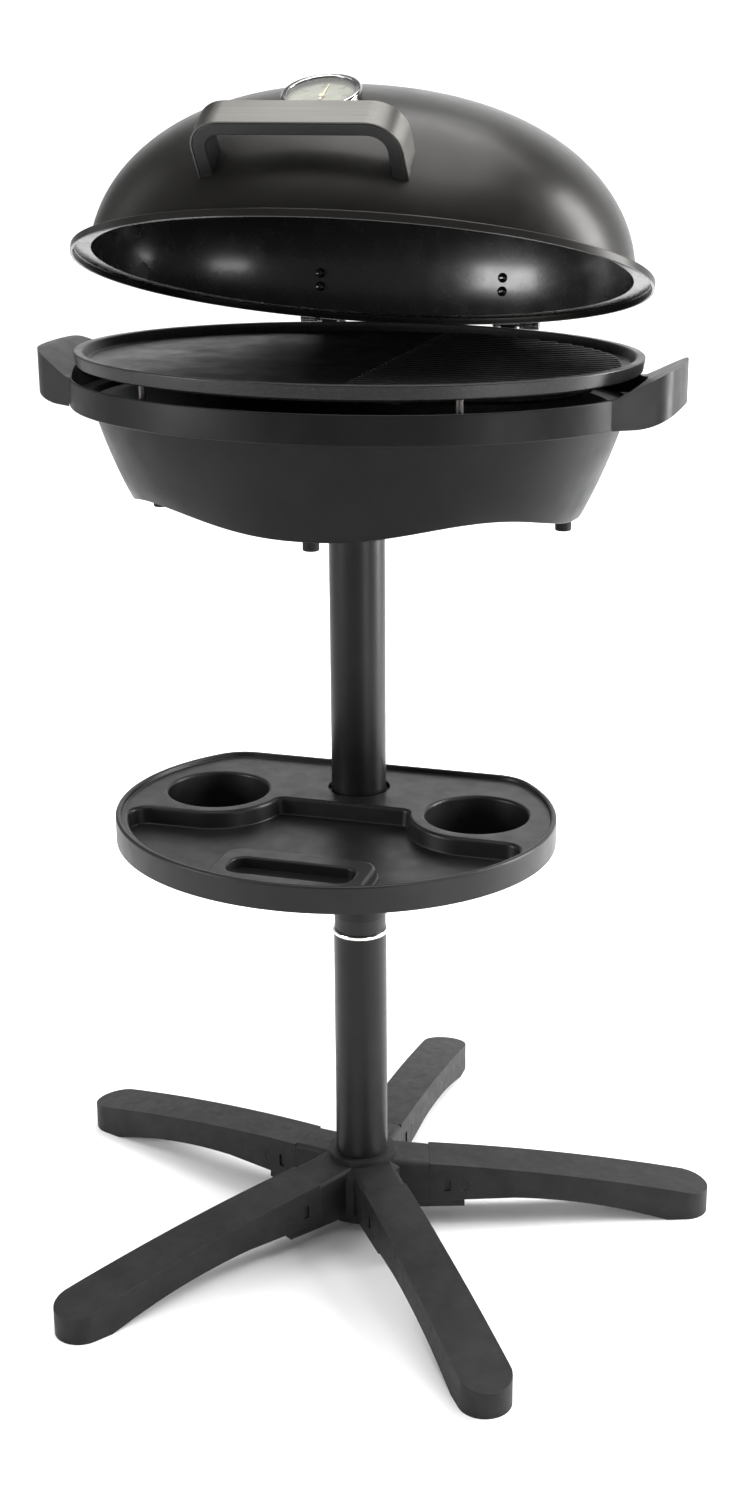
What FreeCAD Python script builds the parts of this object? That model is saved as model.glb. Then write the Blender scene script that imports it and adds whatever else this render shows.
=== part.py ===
import FreeCAD, Part
import math
import os
from FreeCAD import Vector

# Free-standing electric barbecue grill. A base with five plug-in legs carries a two-part column, a shelf
# tray and an oval bowl with the heated plate. A domed lid swings on two hinges behind the bowl.
# Millimetres. X runs to the right, Y to the rear and Z up, from the column's axis at floor level.

# Fits that all pieces share
seat_gap = 0.3
running_gap = 0.05
overrun = 6.0

# Base: hub with a socket for the column, and moulded legs that push onto its tongues
leg_count = 5
leg_first_angle = 18.0
leg_root = 66.0
leg_reach = 318.5
leg_root_width = 43.0
leg_tip_width = 48.0
leg_root_top = 66.0
leg_middle_top = 48.5
leg_tip_top = 20.0
leg_root_bottom = 25.0
leg_arch_bottom = 27.0
leg_arch_middle_bottom = 19.0
leg_arch_inner = 150.0
leg_sole_start = 300.0
leg_sole = 3.0
leg_wall = 2.5
leg_edge_radius = 5.0
leg_rib = 2.0
leg_rib_count = 3
window_radius = 80.0
window_length = 6.0
window_height = 13.0
window_middle = 42.0
hub_radius = 42.0
hub_bottom = 13.0
hub_wall = 3.0
hub_shoulder = 64.0
hub_arm_inner_top = 70.0
collar_radius = 32.5
collar_top = 75.0
collar_height = 5.0
tongue_reach = 100.0
tongue_bottom = 17.0
socket_floor = 20.0
socket_floor_wall = 4.0
socket_wall = 3.5

# Column: two tubes joined on a sleeve, with a bright ring on the lower tube's end
tube_diameter = 50.0
tube_wall = 1.5
ring_top = 310.0
ring_height = 4.0
ring_diameter = 52.5
neck_height = 14.0
sleeve_length = 130.0
sleeve_wall = 3.0

# Shelf tray on the column
tray_deck = 451.0
tray_wall = 3.0
tray_half_width = 197.0
tray_half_depth = 178.0
tray_middle = -72.0
tray_rear = 56.0
tray_corner_radius = 44.0
tray_rim_height = 24.0
tray_lip = 4.0
tray_lip_width = 5.0
tray_rim_land = 11.0
well_diameter = 92.0
well_taper = 4.0
well_depth = 52.0
well_floor_radius = 4.0
well_inset = 75.0
well_y = -42.0
well_land = 14.0
dish_rear = -47.0
dish_depth = 16.0
dish_corner_radius = 9.0
dish_end_radius = 16.0
dish_floor_radius = 1.6
island_half_width = 68.0
island_depth = 92.0
island_drop = 6.0
island_corner_radius = 18.0
slot_half_width = 55.0
slot_inset = 38.0
slot_depth = 34.0
slot_corner_radius = 12.0
tray_boss_wall = 4.0
tray_boss_height = 34.0
tray_screw_diameter = 5.0
tray_screw_head = 12.0
tray_screw_head_length = 9.0

# Oval that the bowl, the plate and the lid share: widths are given along X, depths follow this ratio
oval_width = 498.0
oval_depth = 380.6

# Bowl: a proud band above a tapered body with a scalloped skirt, open towards the plate
band_clearance = 5.5
band_wall = 3.0
band_top = 827.0
band_height = 25.0
band_edge_radius = 1.2
body_inset = 20.5
body_taper = 35.5
body_height = 87.5
body_bulge = 2.5
bowl_wall = 3.0
bowl_floor_rise = 26.5
arch_height = 15.5
arch_width_share = 0.94
foot_side_inset = 13.5
foot_front_inset = 23.7
foot_diameter = 14.0
foot_height = 10.0
foot_drop = 12.0
foot_post_diameter = 9.0

# Socket that joins the bowl to the column
bowl_socket_radius = 62.0
bowl_socket_flange = 6.0
bowl_socket_wall = 4.0
bowl_socket_depth = 24.0
socket_screw_circle = 50.0
socket_screw_count = 4
small_screw_diameter = 4.0
small_screw_head = 8.0
small_screw_head_height = 3.0

# Side handles that drop into gaps in the band, each with a tab on the ledge that is screwed from below
grip_half_span = 72.0
grip_end_half_span = 48.0
grip_stand_out = 24.5
grip_bulge = 5.0
grip_ramp_inset = 14.5
grip_ramp = 40.0
grip_ramp_radius = 20.0
grip_rise = 16.0
grip_end_height = 30.0
grip_wall = 3.5
grip_corner_radius = 28.0
grip_tab = 6.0
grip_tab_gap = 2.0
grip_screw_y = 40.0

# Heated plate and what lies under it
plate_rise = 22.0
plate_wall_height = 12.0
plate_edge_radius = 1.5
plate_draft = 2.0
plate_rim_width = 7.5
plate_inner_draft = 4.0
plate_floor_drop = 8.5
plate_thickness = 6.0
plate_foot_diameter = 6.0
plate_foot_collar = 10.0
plate_foot_collar_height = 4.0
plate_foot_angle = 57.0
rib_pitch = 11.0
rib_width = 4.5
rib_height = 3.0
rib_first_x = 33.0
rib_end_gap = 9.0
drain_x = 46.0
drain_y = 22.0
drain_diameter = 14.0
element_diameter = 7.0
element_drop = 10.0
element_side_inset = 45.0
element_front_inset = 106.3
element_bend = 16.0
element_terminal_x = 18.0
element_end_length = 4.0
clip_width = 12.0
clip_wall = 2.0
reflector_wall = 1.0
reflector_seat = 3.5
reflector_clearance = 8.0
reflector_taper = 20.0
reflector_depth = 38.0
drip_tray_radius = 58.0
drip_tray_height = 14.0
drip_tray_wall = 1.0
inlet_half_width = 32.0
inlet_depth = 51.0
inlet_stand_out = 1.5
inlet_lift = 6.0
inlet_wall = 3.0
inlet_back_wall = 6.0
inlet_pin_length = 34.0
inlet_pin_diameter = 6.0
probe_diameter = 8.0

# Lid: a pressed dome with a flange on the plate's rim and a rolled hem round it
lid_overhang = 4.0
lid_sheet = 1.0
lid_hem = 2.6
lid_hem_height = 7.0
dome_inset = 17.0
dome_height = 142.0
dome_round_share = 0.83
dome_rise_share = 1.03
dome_spans = 4
dome_slope_share = 0.005
lid_open_angle = 19.0

# Lid handle: a plastic bow with a steel strip on its outer face
handle_half_span = 84.5
handle_reach = 36.0
handle_width = 26.0
handle_thickness = 11.5
handle_corner_radius = 26.0
handle_tilt = 55.0
handle_rise_share = 0.235
trim_thickness = 1.5
handle_screw_length = 22.0
handle_screw_seat = 4.0

# Lid thermometer
dial_rise_share = 0.51
bezel_diameter = 65.0
bezel_width = 5.0
case_wall = 1.5
case_height = 5.0
dial_thickness = 0.8
glass_thickness = 1.5
needle_length = 22.0
needle_tail = 7.0
needle_width = 2.2
needle_thickness = 0.6
needle_lift = 0.6
needle_hub_diameter = 5.0
needle_pin_diameter = 1.6
stem_diameter = 8.0
stem_length = 34.0
stem_nut_across = 14.0
stem_nut_height = 5.0
stem_nut_seat = 2.2

# Hinges behind the bowl
hinge_x = 88.0
hinge_behind = 9.5
hinge_drop = 0.5
knuckle_width = 14.0
knuckle_radius = 6.0
ear_gap = 4.5
ear_thickness = 2.0
ear_radius = 6.5
bracket_plate = 2.5
bracket_foot_depth = 9.0
pin_diameter = 6.0
pin_grip_diameter = 9.0
pin_grip_length = 15.0
leaf_thickness = 2.5
leaf_rise = 44.0
hinge_screw_low = 20.0
hinge_screw_high = 32.0
hinge_screw_head = 9.0
hinge_screw_head_height = 3.5
bracket_screw_spacing = 12.0

# Levels, places and radii worked out from the sizes above
depth_share = oval_depth / oval_width
plate_half_width = oval_width / 2
band_half_width = plate_half_width + band_clearance
band_rear = band_half_width * depth_share
body_top_half_width = band_half_width - body_inset
body_bottom_half_width = body_top_half_width - body_taper
tube_radius = tube_diameter / 2
socket_bore = tube_radius + running_gap
sleeve_radius = tube_radius - tube_wall - running_gap
neck_top = ring_top + neck_height
band_bottom = band_top - band_height
ledge = band_bottom + band_wall
skirt_bottom = band_bottom - body_height
bowl_floor = skirt_bottom + bowl_floor_rise
foot_bottom = skirt_bottom - foot_drop
foot_x = body_bottom_half_width - foot_side_inset
foot_y = body_bottom_half_width * depth_share - foot_front_inset
column_top = bowl_floor - bowl_socket_flange
grip_reach = band_half_width + grip_stand_out
plate_rim = band_top + plate_rise
plate_floor = plate_rim - plate_floor_drop
plate_under = plate_floor - plate_thickness
plate_foot_half_width = plate_half_width - plate_draft - plate_rim_width / 2
reflector_flange_half_width = body_top_half_width - bowl_wall + reflector_seat
reflector_top_half_width = body_top_half_width - bowl_wall - reflector_clearance
reflector_bottom_half_width = reflector_top_half_width - reflector_taper
grip_tab_half_width = reflector_flange_half_width + grip_tab_gap
element_z = plate_under - element_drop
element_half_depth = oval_depth / 2 - element_front_inset
element_half_length = plate_half_width - element_side_inset - element_half_depth
inlet_rear = band_rear + inlet_stand_out
inlet_front = inlet_rear - inlet_depth
inlet_bottom = ledge + inlet_lift
element_end_y = inlet_front + element_end_length
lid_half_width = plate_half_width + lid_overhang
dome_half_width = lid_half_width - dome_inset
lid_seat = plate_rim + seat_gap
dome_base = lid_seat + lid_sheet
hinge_y = band_rear + hinge_behind
hinge_z = plate_rim - hinge_drop
tray_front = tray_middle - tray_half_depth
well_radius = well_diameter / 2
well_x = tray_half_width - well_inset
tray_under = tray_deck - tray_wall
dish_floor = tray_deck - dish_depth
small_screw_radius = small_screw_diameter / 2


def box(x0, x1, y0, y1, z0, z1):
    return Part.makeBox(x1 - x0, y1 - y0, z1 - z0, Vector(x0, y0, z0))


def rod(radius, start, end):
    return Part.makeCylinder(radius, (end - start).Length, start, end - start)


def post(radius, x, y, z0, z1):
    return rod(radius, Vector(x, y, z0), Vector(x, y, z1))


def pipe(outer, inner, z0, z1):
    return post(outer, 0, 0, z0, z1).cut(post(inner, 0, 0, z0, z1))


def corners(points):
    return [Vector(r, 0, z) for r, z in points]


def lines(points):
    return [Part.LineSegment(a, b).toShape() for a, b in zip(points, points[1:])]


def turned(edges):
    face = Part.Face(Part.Wire(edges))
    return face.revolve(Vector(), Vector(0, 0, 1), 360)


def turned_outline(points):
    loop = corners(points)
    return turned(lines(loop + loop[:1]))


def oval(shape):
    squash = FreeCAD.Matrix()
    squash.A22 = depth_share
    return shape.transformGeometry(squash)


def joined(shapes):
    return shapes[0].multiFuse(shapes[1:]).removeSplitter()


def mirrored(shape):
    return shape.mirror(Vector(), Vector(1, 0, 0))


def spun(shape, angle):
    copy = shape.copy()
    copy.rotate(Vector(), Vector(0, 0, 1), angle)
    return copy


def upright_edges(shape, wanted):
    found = []
    for edge in shape.Edges:
        bounds = edge.BoundBox
        if bounds.ZLength > seat_gap > max(bounds.XLength, bounds.YLength) and wanted(edge.CenterOfMass):
            found.append(edge)
    return found


def slab(wire, z0, z1):
    face = Part.Face(wire)
    face.translate(Vector(0, 0, z0))
    return face.extrude(Vector(0, 0, z1 - z0))


def across(edges, half_width):
    face = Part.Face(Part.Wire(edges))
    face.translate(Vector(0, -half_width, 0))
    return face.extrude(Vector(0, 2 * half_width, 0))


def arc(start, middle, end):
    return Part.Arc(start, middle, end).toShape()


def screw(radius, head_radius, head_height, seat, direction, length):
    along = Vector(direction).normalize()
    shank = rod(radius, seat, seat + along * length)
    head = rod(head_radius, seat - along * head_height, seat)
    return joined([shank, head])


def leg_plan(inset, start, z0, z1):
    root = leg_root_width / 2 - inset
    tip = leg_tip_width / 2 - inset
    near = Vector(leg_reach, -tip, 0)
    far = Vector(leg_reach, tip, 0)
    sides = lines([far, Vector(start, root, 0), Vector(start, -root, 0), near])
    end = arc(near, Vector(leg_reach + tip, 0, 0), far)
    return slab(Part.Wire(sides + [end]), z0, z1)


def leg_top_arc(drop):
    tip_end = leg_reach + leg_tip_width
    middle = (leg_root + tip_end) / 2
    points = corners([(leg_root, leg_root_top), (middle, leg_middle_top), (tip_end, leg_tip_top)])
    curve = arc(*points)
    curve.translate(Vector(0, 0, -drop))
    return curve


def leg_side():
    top = leg_top_arc(0)
    arch_middle = (leg_arch_inner + leg_sole_start) / 2
    arch = arc(*corners([(leg_sole_start, 0), (arch_middle, leg_arch_middle_bottom),
                         (leg_arch_inner, leg_arch_bottom)]))
    end = top.lastVertex().Point
    toe = lines([end, Vector(end.x, 0, 0), Vector(leg_sole_start, 0, 0)])
    heel = lines([Vector(leg_arch_inner, 0, leg_arch_bottom), Vector(leg_root, 0, leg_root_bottom),
                  top.firstVertex().Point])
    return across([top] + toe + [arch] + heel, leg_tip_width)


def leg_hollow():
    top = leg_top_arc(leg_wall)
    end = top.lastVertex().Point
    start = top.firstVertex().Point
    toe = lines([end, Vector(end.x, 0, leg_sole), Vector(leg_sole_start, 0, leg_sole),
                 Vector(leg_sole_start, 0, -overrun), Vector(start.x, 0, -overrun), start])
    side = across([top] + toe, leg_tip_width)
    hollow = side.common(leg_plan(leg_wall, leg_root - overrun, -overrun, leg_root_top))
    rib_step = (leg_sole_start - tongue_reach) / (leg_rib_count + 1)
    for number in range(leg_rib_count):
        rib_x = tongue_reach + rib_step * (number + 1)
        rib = box(rib_x, rib_x + leg_rib, -leg_tip_width, leg_tip_width, -overrun, leg_root_top)
        hollow = hollow.cut(rib)
    return hollow


def window_block(half_width):
    return box(window_radius, window_radius + window_length, -half_width, half_width,
               window_middle - window_height / 2, window_middle + window_height / 2)


def leg():
    body = leg_side().common(leg_plan(0, leg_root, 0, leg_root_top))
    top = max((f for f in body.Faces if f.normalAt(0, 0).z > depth_share), key=lambda f: f.Area)
    rim = [e for e in top.Edges if e.BoundBox.XMax > leg_root + seat_gap]
    body = body.makeFillet(leg_edge_radius, rim)
    return body.cut(leg_hollow()).cut(window_block(leg_tip_width))


def hub_arm():
    top = [(0, hub_arm_inner_top), (collar_radius, hub_arm_inner_top), (leg_root - seat_gap, leg_root_top)]
    outline = corners(top + [(leg_root - seat_gap, leg_root_bottom), (0, leg_root_bottom)])
    arm = across(lines(outline + outline[:1]), leg_root_width / 2)
    ridges = [e for e in arm.Edges if e.BoundBox.ZMin > leg_root_top - seat_gap
              and e.BoundBox.XMax > collar_radius + seat_gap and e.BoundBox.YLength < seat_gap]
    arm = arm.makeFillet(leg_edge_radius, ridges)
    half_width = leg_root_width / 2 - leg_wall - seat_gap
    roof = leg_middle_top + leg_wall
    tongue = box(0, tongue_reach, -half_width, half_width, tongue_bottom, roof)
    nose = window_block(half_width + leg_wall / 2)
    nose = nose.common(box(window_radius + seat_gap, window_radius + window_length - seat_gap,
                           -leg_tip_width, leg_tip_width, window_middle - window_height / 2 + seat_gap,
                           window_middle + window_height / 2 - seat_gap))
    pocket = box(hub_radius, tongue_reach - hub_wall, hub_wall - half_width, half_width - hub_wall,
                 tongue_bottom - overrun, roof - hub_wall)
    return joined([arm, tongue, nose]).cut(pocket)


def base_hub():
    core = turned_outline([(0, hub_bottom), (hub_radius, hub_bottom), (hub_radius, hub_shoulder),
                           (collar_radius, collar_top - collar_height), (collar_radius, collar_top),
                           (0, collar_top)])
    arm = hub_arm()
    turn = 360 / leg_count
    arms = [spun(arm, leg_first_angle + turn * number) for number in range(leg_count)]
    hub = joined([core] + arms)
    ring_inner = socket_bore + socket_wall
    ring_outer = hub_radius - hub_wall
    under = hub_shoulder - hub_wall * 2
    moat = pipe(ring_outer, ring_inner, hub_bottom - overrun, under)
    bore = post(socket_bore, 0, 0, socket_floor + socket_floor_wall, collar_top + overrun)
    well = post(socket_bore, 0, 0, hub_bottom - overrun, socket_floor)
    return hub.cut(moat).cut(bore).cut(well)


def lower_tube():
    low = socket_floor + socket_floor_wall
    return pipe(tube_radius, tube_radius - tube_wall, low, ring_top - ring_height)


def upper_tube():
    return pipe(tube_radius, tube_radius - tube_wall, neck_top, column_top)


def joint_ring():
    return pipe(ring_diameter / 2, sleeve_radius + running_gap, ring_top - ring_height, ring_top)


def joint_sleeve():
    start = (ring_top + neck_top - sleeve_length) / 2
    neck = pipe(tube_radius - tube_wall / 2, sleeve_radius - sleeve_wall, ring_top, neck_top)
    inside = pipe(sleeve_radius, sleeve_radius - sleeve_wall, start, start + sleeve_length)
    return joined([inside, neck])


def tray_block(inset, z0, z1):
    wide = tray_half_width - inset
    deep = tray_half_depth - inset
    ellipse = Part.Ellipse(Vector(0, tray_middle, 0), wide, deep)
    whole = slab(Part.Wire(ellipse.toShape()), z0, z1)
    rear = tray_rear - inset
    body = whole.common(box(-tray_half_width, tray_half_width, tray_front - overrun, rear, z0, z1))
    edges = upright_edges(body, lambda middle: middle.y > rear - seat_gap)
    return body.makeFillet(tray_corner_radius - inset, edges)


def tray_dish(grow, z0, z1):
    land = well_radius + well_land - grow
    body = tray_block(tray_rim_land - grow, z0, z1)
    body = body.common(box(-tray_half_width, tray_half_width, tray_front - overrun, dish_rear + grow, z0, z1))
    for side in (-1, 1):
        body = body.cut(post(land, side * well_x, well_y, z0, z1))
        outer = sorted((side * well_x, side * (tray_half_width + overrun)))
        body = body.cut(box(outer[0], outer[1], well_y - land, tray_rear, z0, z1))
    notches = upright_edges(body, lambda middle: middle.y > dish_rear + grow - seat_gap)
    body = body.makeFillet(dish_corner_radius + grow, notches)
    ends = upright_edges(body, lambda middle: abs(middle.x) > well_x + land / 2
                         and middle.y > well_y - land - seat_gap)
    body = body.makeFillet(dish_end_radius + grow, ends)
    floor = [e for e in body.Edges if e.BoundBox.ZMax < z0 + seat_gap]
    return body.makeFillet(dish_floor_radius + grow, floor)


def rounded_box(half_width, y0, y1, z0, z1, radius):
    body = box(-half_width, half_width, y0, y1, z0, z1)
    return body.makeFillet(radius, upright_edges(body, lambda middle: True))


def tray_island(z0):
    top = tray_deck - island_drop
    rear = tray_front + island_depth
    body = rounded_box(island_half_width, tray_front, rear, z0, top, island_corner_radius)
    return body.common(tray_block(tray_lip_width, z0, tray_deck))


def well_cup(grow):
    top = well_radius + grow
    bottom = top - well_taper
    floor = tray_deck - well_depth - grow
    cup = turned_outline([(0, floor), (bottom, floor), (top, tray_deck), (0, tray_deck)])
    rim = [e for e in cup.Edges if e.BoundBox.ZMax < floor + seat_gap]
    return cup.makeFillet(well_floor_radius + grow, rim)


def at_wells(shape):
    placed = []
    for side in (-1, 1):
        copy = shape.copy()
        copy.translate(Vector(side * well_x, well_y, 0))
        placed.append(copy)
    return placed


def shelf_tray():
    bottom = tray_deck + tray_lip - tray_rim_height
    top = tray_deck + tray_lip
    rim = tray_block(0, bottom, top).cut(tray_block(tray_wall, bottom - overrun, tray_under))
    rim = rim.cut(tray_block(tray_lip_width, tray_deck, top + overrun))
    lip_edges = [e for e in rim.Edges if e.BoundBox.ZMin > top - seat_gap]
    rim = rim.makeFillet(tray_wall / 2, lip_edges)
    boss = post(socket_bore + tray_boss_wall, 0, 0, tray_under - tray_boss_height, tray_deck)
    dish_shell = tray_dish(tray_wall, dish_floor - tray_wall, tray_deck).common(tray_block(0, bottom, top))
    body = joined([rim, boss, dish_shell] + at_wells(well_cup(tray_wall)))
    body = body.cut(tray_dish(0, dish_floor, tray_deck + overrun))
    body = joined([body, tray_island(dish_floor - tray_wall)])
    for cup in at_wells(well_cup(0)):
        body = body.cut(cup)
    front = tray_front + slot_inset
    rear = front + slot_depth
    body = body.cut(rounded_box(slot_half_width, front, rear, dish_floor, top, slot_corner_radius))
    body = body.cut(post(socket_bore, 0, 0, bottom - tray_boss_height, top))
    middle = Vector(0, 0, tray_under - tray_boss_height / 2)
    return body.cut(rod(tray_screw_diameter / 2 + running_gap, middle, middle + Vector(0, tray_rear, 0)))


def tray_screw():
    z = tray_under - tray_boss_height / 2
    seat = Vector(0, socket_bore + tray_boss_wall, z)
    return screw(tray_screw_diameter / 2, tray_screw_head / 2, tray_screw_head_length, seat, Vector(0, -1, 0),
                 tray_boss_wall)


def body_arc(inset, top, bottom):
    start = Vector(body_top_half_width - inset, 0, top)
    end = Vector(body_bottom_half_width - inset, 0, bottom)
    middle = (start + end) * 0.5 + Vector(body_bulge, 0, 0)
    return arc(end, middle, start)


def body_half_width(z):
    share = (z - skirt_bottom) / (band_bottom - skirt_bottom)
    return body_bottom_half_width + (body_top_half_width - body_bottom_half_width) * share


def bowl_shell():
    outer = body_arc(0, band_bottom, skirt_bottom)
    inner = body_arc(bowl_wall, ledge, skirt_bottom)
    band = corners([(body_top_half_width, band_bottom), (band_half_width, band_bottom),
                    (band_half_width, band_top), (band_half_width - band_wall, band_top),
                    (band_half_width - band_wall, ledge), (body_top_half_width - bowl_wall, ledge)])
    foot = lines([inner.firstVertex().Point, outer.firstVertex().Point])
    shell = turned([outer] + lines(band) + [inner] + foot)
    rims = [e for e in shell.Edges
            if e.BoundBox.XMax > band_half_width - seat_gap and e.BoundBox.ZLength < seat_gap]
    return oval(shell.makeFillet(band_edge_radius, rims))


def bowl_floor_plate():
    reach = body_half_width(bowl_floor)
    disc = turned_outline([(0, bowl_floor), (reach, bowl_floor), (reach, bowl_floor + bowl_wall),
                           (0, bowl_floor + bowl_wall)])
    return oval(disc)


def arch_cutter():
    corner_x = body_bottom_half_width
    corner_y = body_bottom_half_width * depth_share
    width = math.hypot(corner_x, corner_y) * arch_width_share
    quarter = width / 4
    rise = arch_height / 2
    low = skirt_bottom
    points = [Vector(0, -2 * quarter, low), Vector(0, -quarter, low + rise), Vector(0, 0, low + arch_height),
              Vector(0, quarter, low + rise), Vector(0, 2 * quarter, low)]
    wave = Part.BSplineCurve()
    wave.interpolate(Points=points, InitialTangent=Vector(0, 1, 0), FinalTangent=Vector(0, 1, 0))
    below = Vector(0, 0, overrun)
    base = lines([points[-1], points[-1] - below, points[0] - below, points[0]])
    face = Part.Face(Part.Wire([wave.toShape()] + base))
    cutter = face.extrude(Vector(body_top_half_width, 0, 0))
    angle = math.degrees(math.atan2(corner_y, corner_x))
    return spun(cutter, angle)


def foot_places():
    return [(foot_x, 0), (0, foot_y), (-foot_x, 0), (0, -foot_y)]


def hinge_pad():
    half = knuckle_width / 2 + ear_gap + ear_thickness
    low = band_bottom + band_edge_radius
    high = band_top - band_edge_radius
    pad = box(hinge_x - half, hinge_x + half, 0, pad_face(), low, high)
    return pad.cut(oval(post(band_half_width - band_wall / 2, 0, 0, low, high)))


def pad_face():
    inner_x = hinge_x - knuckle_width / 2 - ear_gap - ear_thickness
    return band_rear * math.sqrt(1 - (inner_x / band_half_width) ** 2) + seat_gap


def bracket_screw_places():
    middle = (band_bottom + band_top) / 2
    half = bracket_screw_spacing / 2
    return [(hinge_x - half, middle), (hinge_x + half, middle)]


def bowl():
    arch = arch_cutter()
    arches = [arch, mirrored(arch), spun(arch, 180), spun(mirrored(arch), 180)]
    body = bowl_shell()
    for cutter in arches:
        body = body.cut(cutter)
    post_low = foot_bottom + foot_height / 2
    posts = [post(foot_post_diameter / 2, x, y, post_low, bowl_floor) for x, y in foot_places()]
    pad = hinge_pad()
    body = joined([body, bowl_floor_plate()] + posts + [pad, mirrored(pad)])
    for side in (-1, 1):
        gap = sorted((0, side * oval_width))
        body = body.cut(box(gap[0], gap[1], -grip_half_span, grip_half_span, ledge, band_top + overrun))
        for x, y in grip_screw_places():
            body = body.cut(post(small_screw_radius + running_gap, side * x, y, band_bottom - overrun, ledge))
        for x, z in bracket_screw_places():
            rear = Vector(side * x, oval_depth, z)
            body = body.cut(rod(small_screw_radius + running_gap, rear, Vector(side * x, foot_y, z)))
    for x, y in socket_screw_places():
        hole = post(small_screw_radius + running_gap, x, y, bowl_floor - overrun, bowl_floor + bowl_wall)
        body = body.cut(hole)
    notch = inlet_half_width + seat_gap
    return body.cut(box(-notch, notch, inlet_front, oval_depth, ledge, band_top + overrun))


def bowl_feet():
    feet = []
    for x, y in foot_places():
        cap = post(foot_diameter / 2, x, y, foot_bottom, foot_bottom + foot_height)
        feet.append(cap.cut(post(foot_post_diameter / 2, x, y, foot_bottom + foot_height / 2, bowl_floor)))
    return Part.makeCompound(feet)


def socket_screw_places():
    step = 2 * math.pi / socket_screw_count
    angles = [step * (number + 0.5) for number in range(socket_screw_count)]
    return [(socket_screw_circle * math.cos(a), socket_screw_circle * math.sin(a)) for a in angles]


def bowl_socket():
    top = bowl_floor
    flange = post(bowl_socket_radius, 0, 0, top - bowl_socket_flange, top)
    sleeve = post(socket_bore + bowl_socket_wall, 0, 0, column_top - bowl_socket_depth, column_top)
    body = joined([flange, sleeve]).cut(post(socket_bore, 0, 0, column_top - bowl_socket_depth, column_top))
    for x, y in socket_screw_places():
        body = body.cut(post(small_screw_radius + running_gap, x, y, top - bowl_socket_flange, top))
    return body


def socket_screws():
    seat = column_top
    length = bowl_socket_flange + bowl_wall
    up = Vector(0, 0, 1)
    return Part.makeCompound([screw(small_screw_radius, small_screw_head / 2, small_screw_head_height,
                                    Vector(x, y, seat), up, length) for x, y in socket_screw_places()])


def grip_plan(inset, z0, z1):
    root = grip_half_span - seat_gap - inset
    end = grip_end_half_span - inset
    reach = grip_reach - inset
    band_x = band_half_width * math.sqrt(1 - (grip_half_span / band_half_width / depth_share) ** 2)
    near = Vector(reach, -end, 0)
    far = Vector(reach, end, 0)
    bow = arc(near, Vector(reach + grip_bulge, 0, 0), far)
    sides = lines([far, Vector(band_x - inset, root, 0), Vector(0, root, 0), Vector(0, -root, 0),
                   Vector(band_x - inset, -root, 0), near])
    body = slab(Part.Wire(sides + [bow]), z0, z1)
    edges = upright_edges(body, lambda middle: middle.x > reach - seat_gap)
    return body.makeFillet(grip_corner_radius - inset, edges)


def grip_top(drop):
    """Upper outline of a side handle, seen from the front: level with the band, then a ramp to its tip."""
    ramp_start = band_half_width - grip_ramp_inset
    tip = grip_reach + grip_bulge + overrun
    low = band_top - drop
    high = low + grip_rise
    return corners([(oval_width / 4, low), (ramp_start, low), (ramp_start + grip_ramp, high), (tip, high)])


def grip_screw_places():
    """Screws of the right handle's tab, on an oval in the middle of the tab."""
    middle = (grip_tab_half_width + band_half_width - band_wall) / 2
    x = middle * math.sqrt(1 - (grip_screw_y / middle / depth_share) ** 2)
    return [(x, -grip_screw_y), (x, grip_screw_y)]


def grip_tab_block():
    """Flat tab behind the handle's root, on the bowl's ledge and under the plate's edge."""
    low = ledge + running_gap
    high = low + grip_tab
    root = grip_half_span - seat_gap
    ring = oval(pipe(band_half_width - band_wall / 2, grip_tab_half_width, low, high))
    return ring.common(box(0, oval_width, -root, root, low, high))


def grip_block():
    top = grip_top(0)
    bend = band_half_width
    tip = top[-1].x
    end_low = band_top + grip_rise - grip_end_height
    middle = Vector((bend + tip) / 2, 0, band_bottom + (end_low - band_bottom) / 4)
    under = arc(Vector(tip, 0, end_low), middle, Vector(bend, 0, band_bottom))
    close = lines([Vector(bend, 0, band_bottom), Vector(top[0].x, 0, band_bottom), top[0]])
    body = across(lines(top + [Vector(tip, 0, end_low)]) + [under] + close, oval_width)
    bends = (top[1].x, top[2].x)
    ramp = [e for e in body.Edges if e.BoundBox.YLength > oval_width and e.BoundBox.ZMin > band_top - seat_gap
            and min(abs(e.BoundBox.XMin - x) for x in bends) < seat_gap]
    return body.makeFillet(grip_ramp_radius, ramp)


def grip_hollow():
    top = grip_top(grip_wall)
    low = band_bottom - overrun
    loop = top + [Vector(top[-1].x, 0, low), Vector(top[0].x, 0, low), top[0]]
    hollow = across(lines(loop), oval_width).common(grip_plan(grip_wall, low, plate_rim))
    return hollow.cut(oval(post(band_half_width + grip_wall, 0, 0, low, plate_rim)))


def grip():
    body = grip_block().common(grip_plan(0, band_bottom, plate_rim))
    body = body.cut(oval(post(band_half_width - band_wall, 0, 0, band_bottom, plate_rim)))
    body = body.cut(oval(post(band_half_width + seat_gap, 0, 0, band_bottom - overrun, ledge + running_gap)))
    body = joined([body.cut(grip_hollow()), grip_tab_block()])
    for x, y in grip_screw_places():
        body = body.cut(post(small_screw_radius + running_gap, x, y, band_bottom, band_top))
    return body


def grip_screws():
    places = [(side * x, y) for side in (-1, 1) for x, y in grip_screw_places()]
    up = Vector(0, 0, 1)
    length = band_wall + running_gap + grip_tab
    return Part.makeCompound([screw(small_screw_radius, small_screw_head / 2, small_screw_head_height,
                                    Vector(x, y, band_bottom), up, length) for x, y in places])


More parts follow.
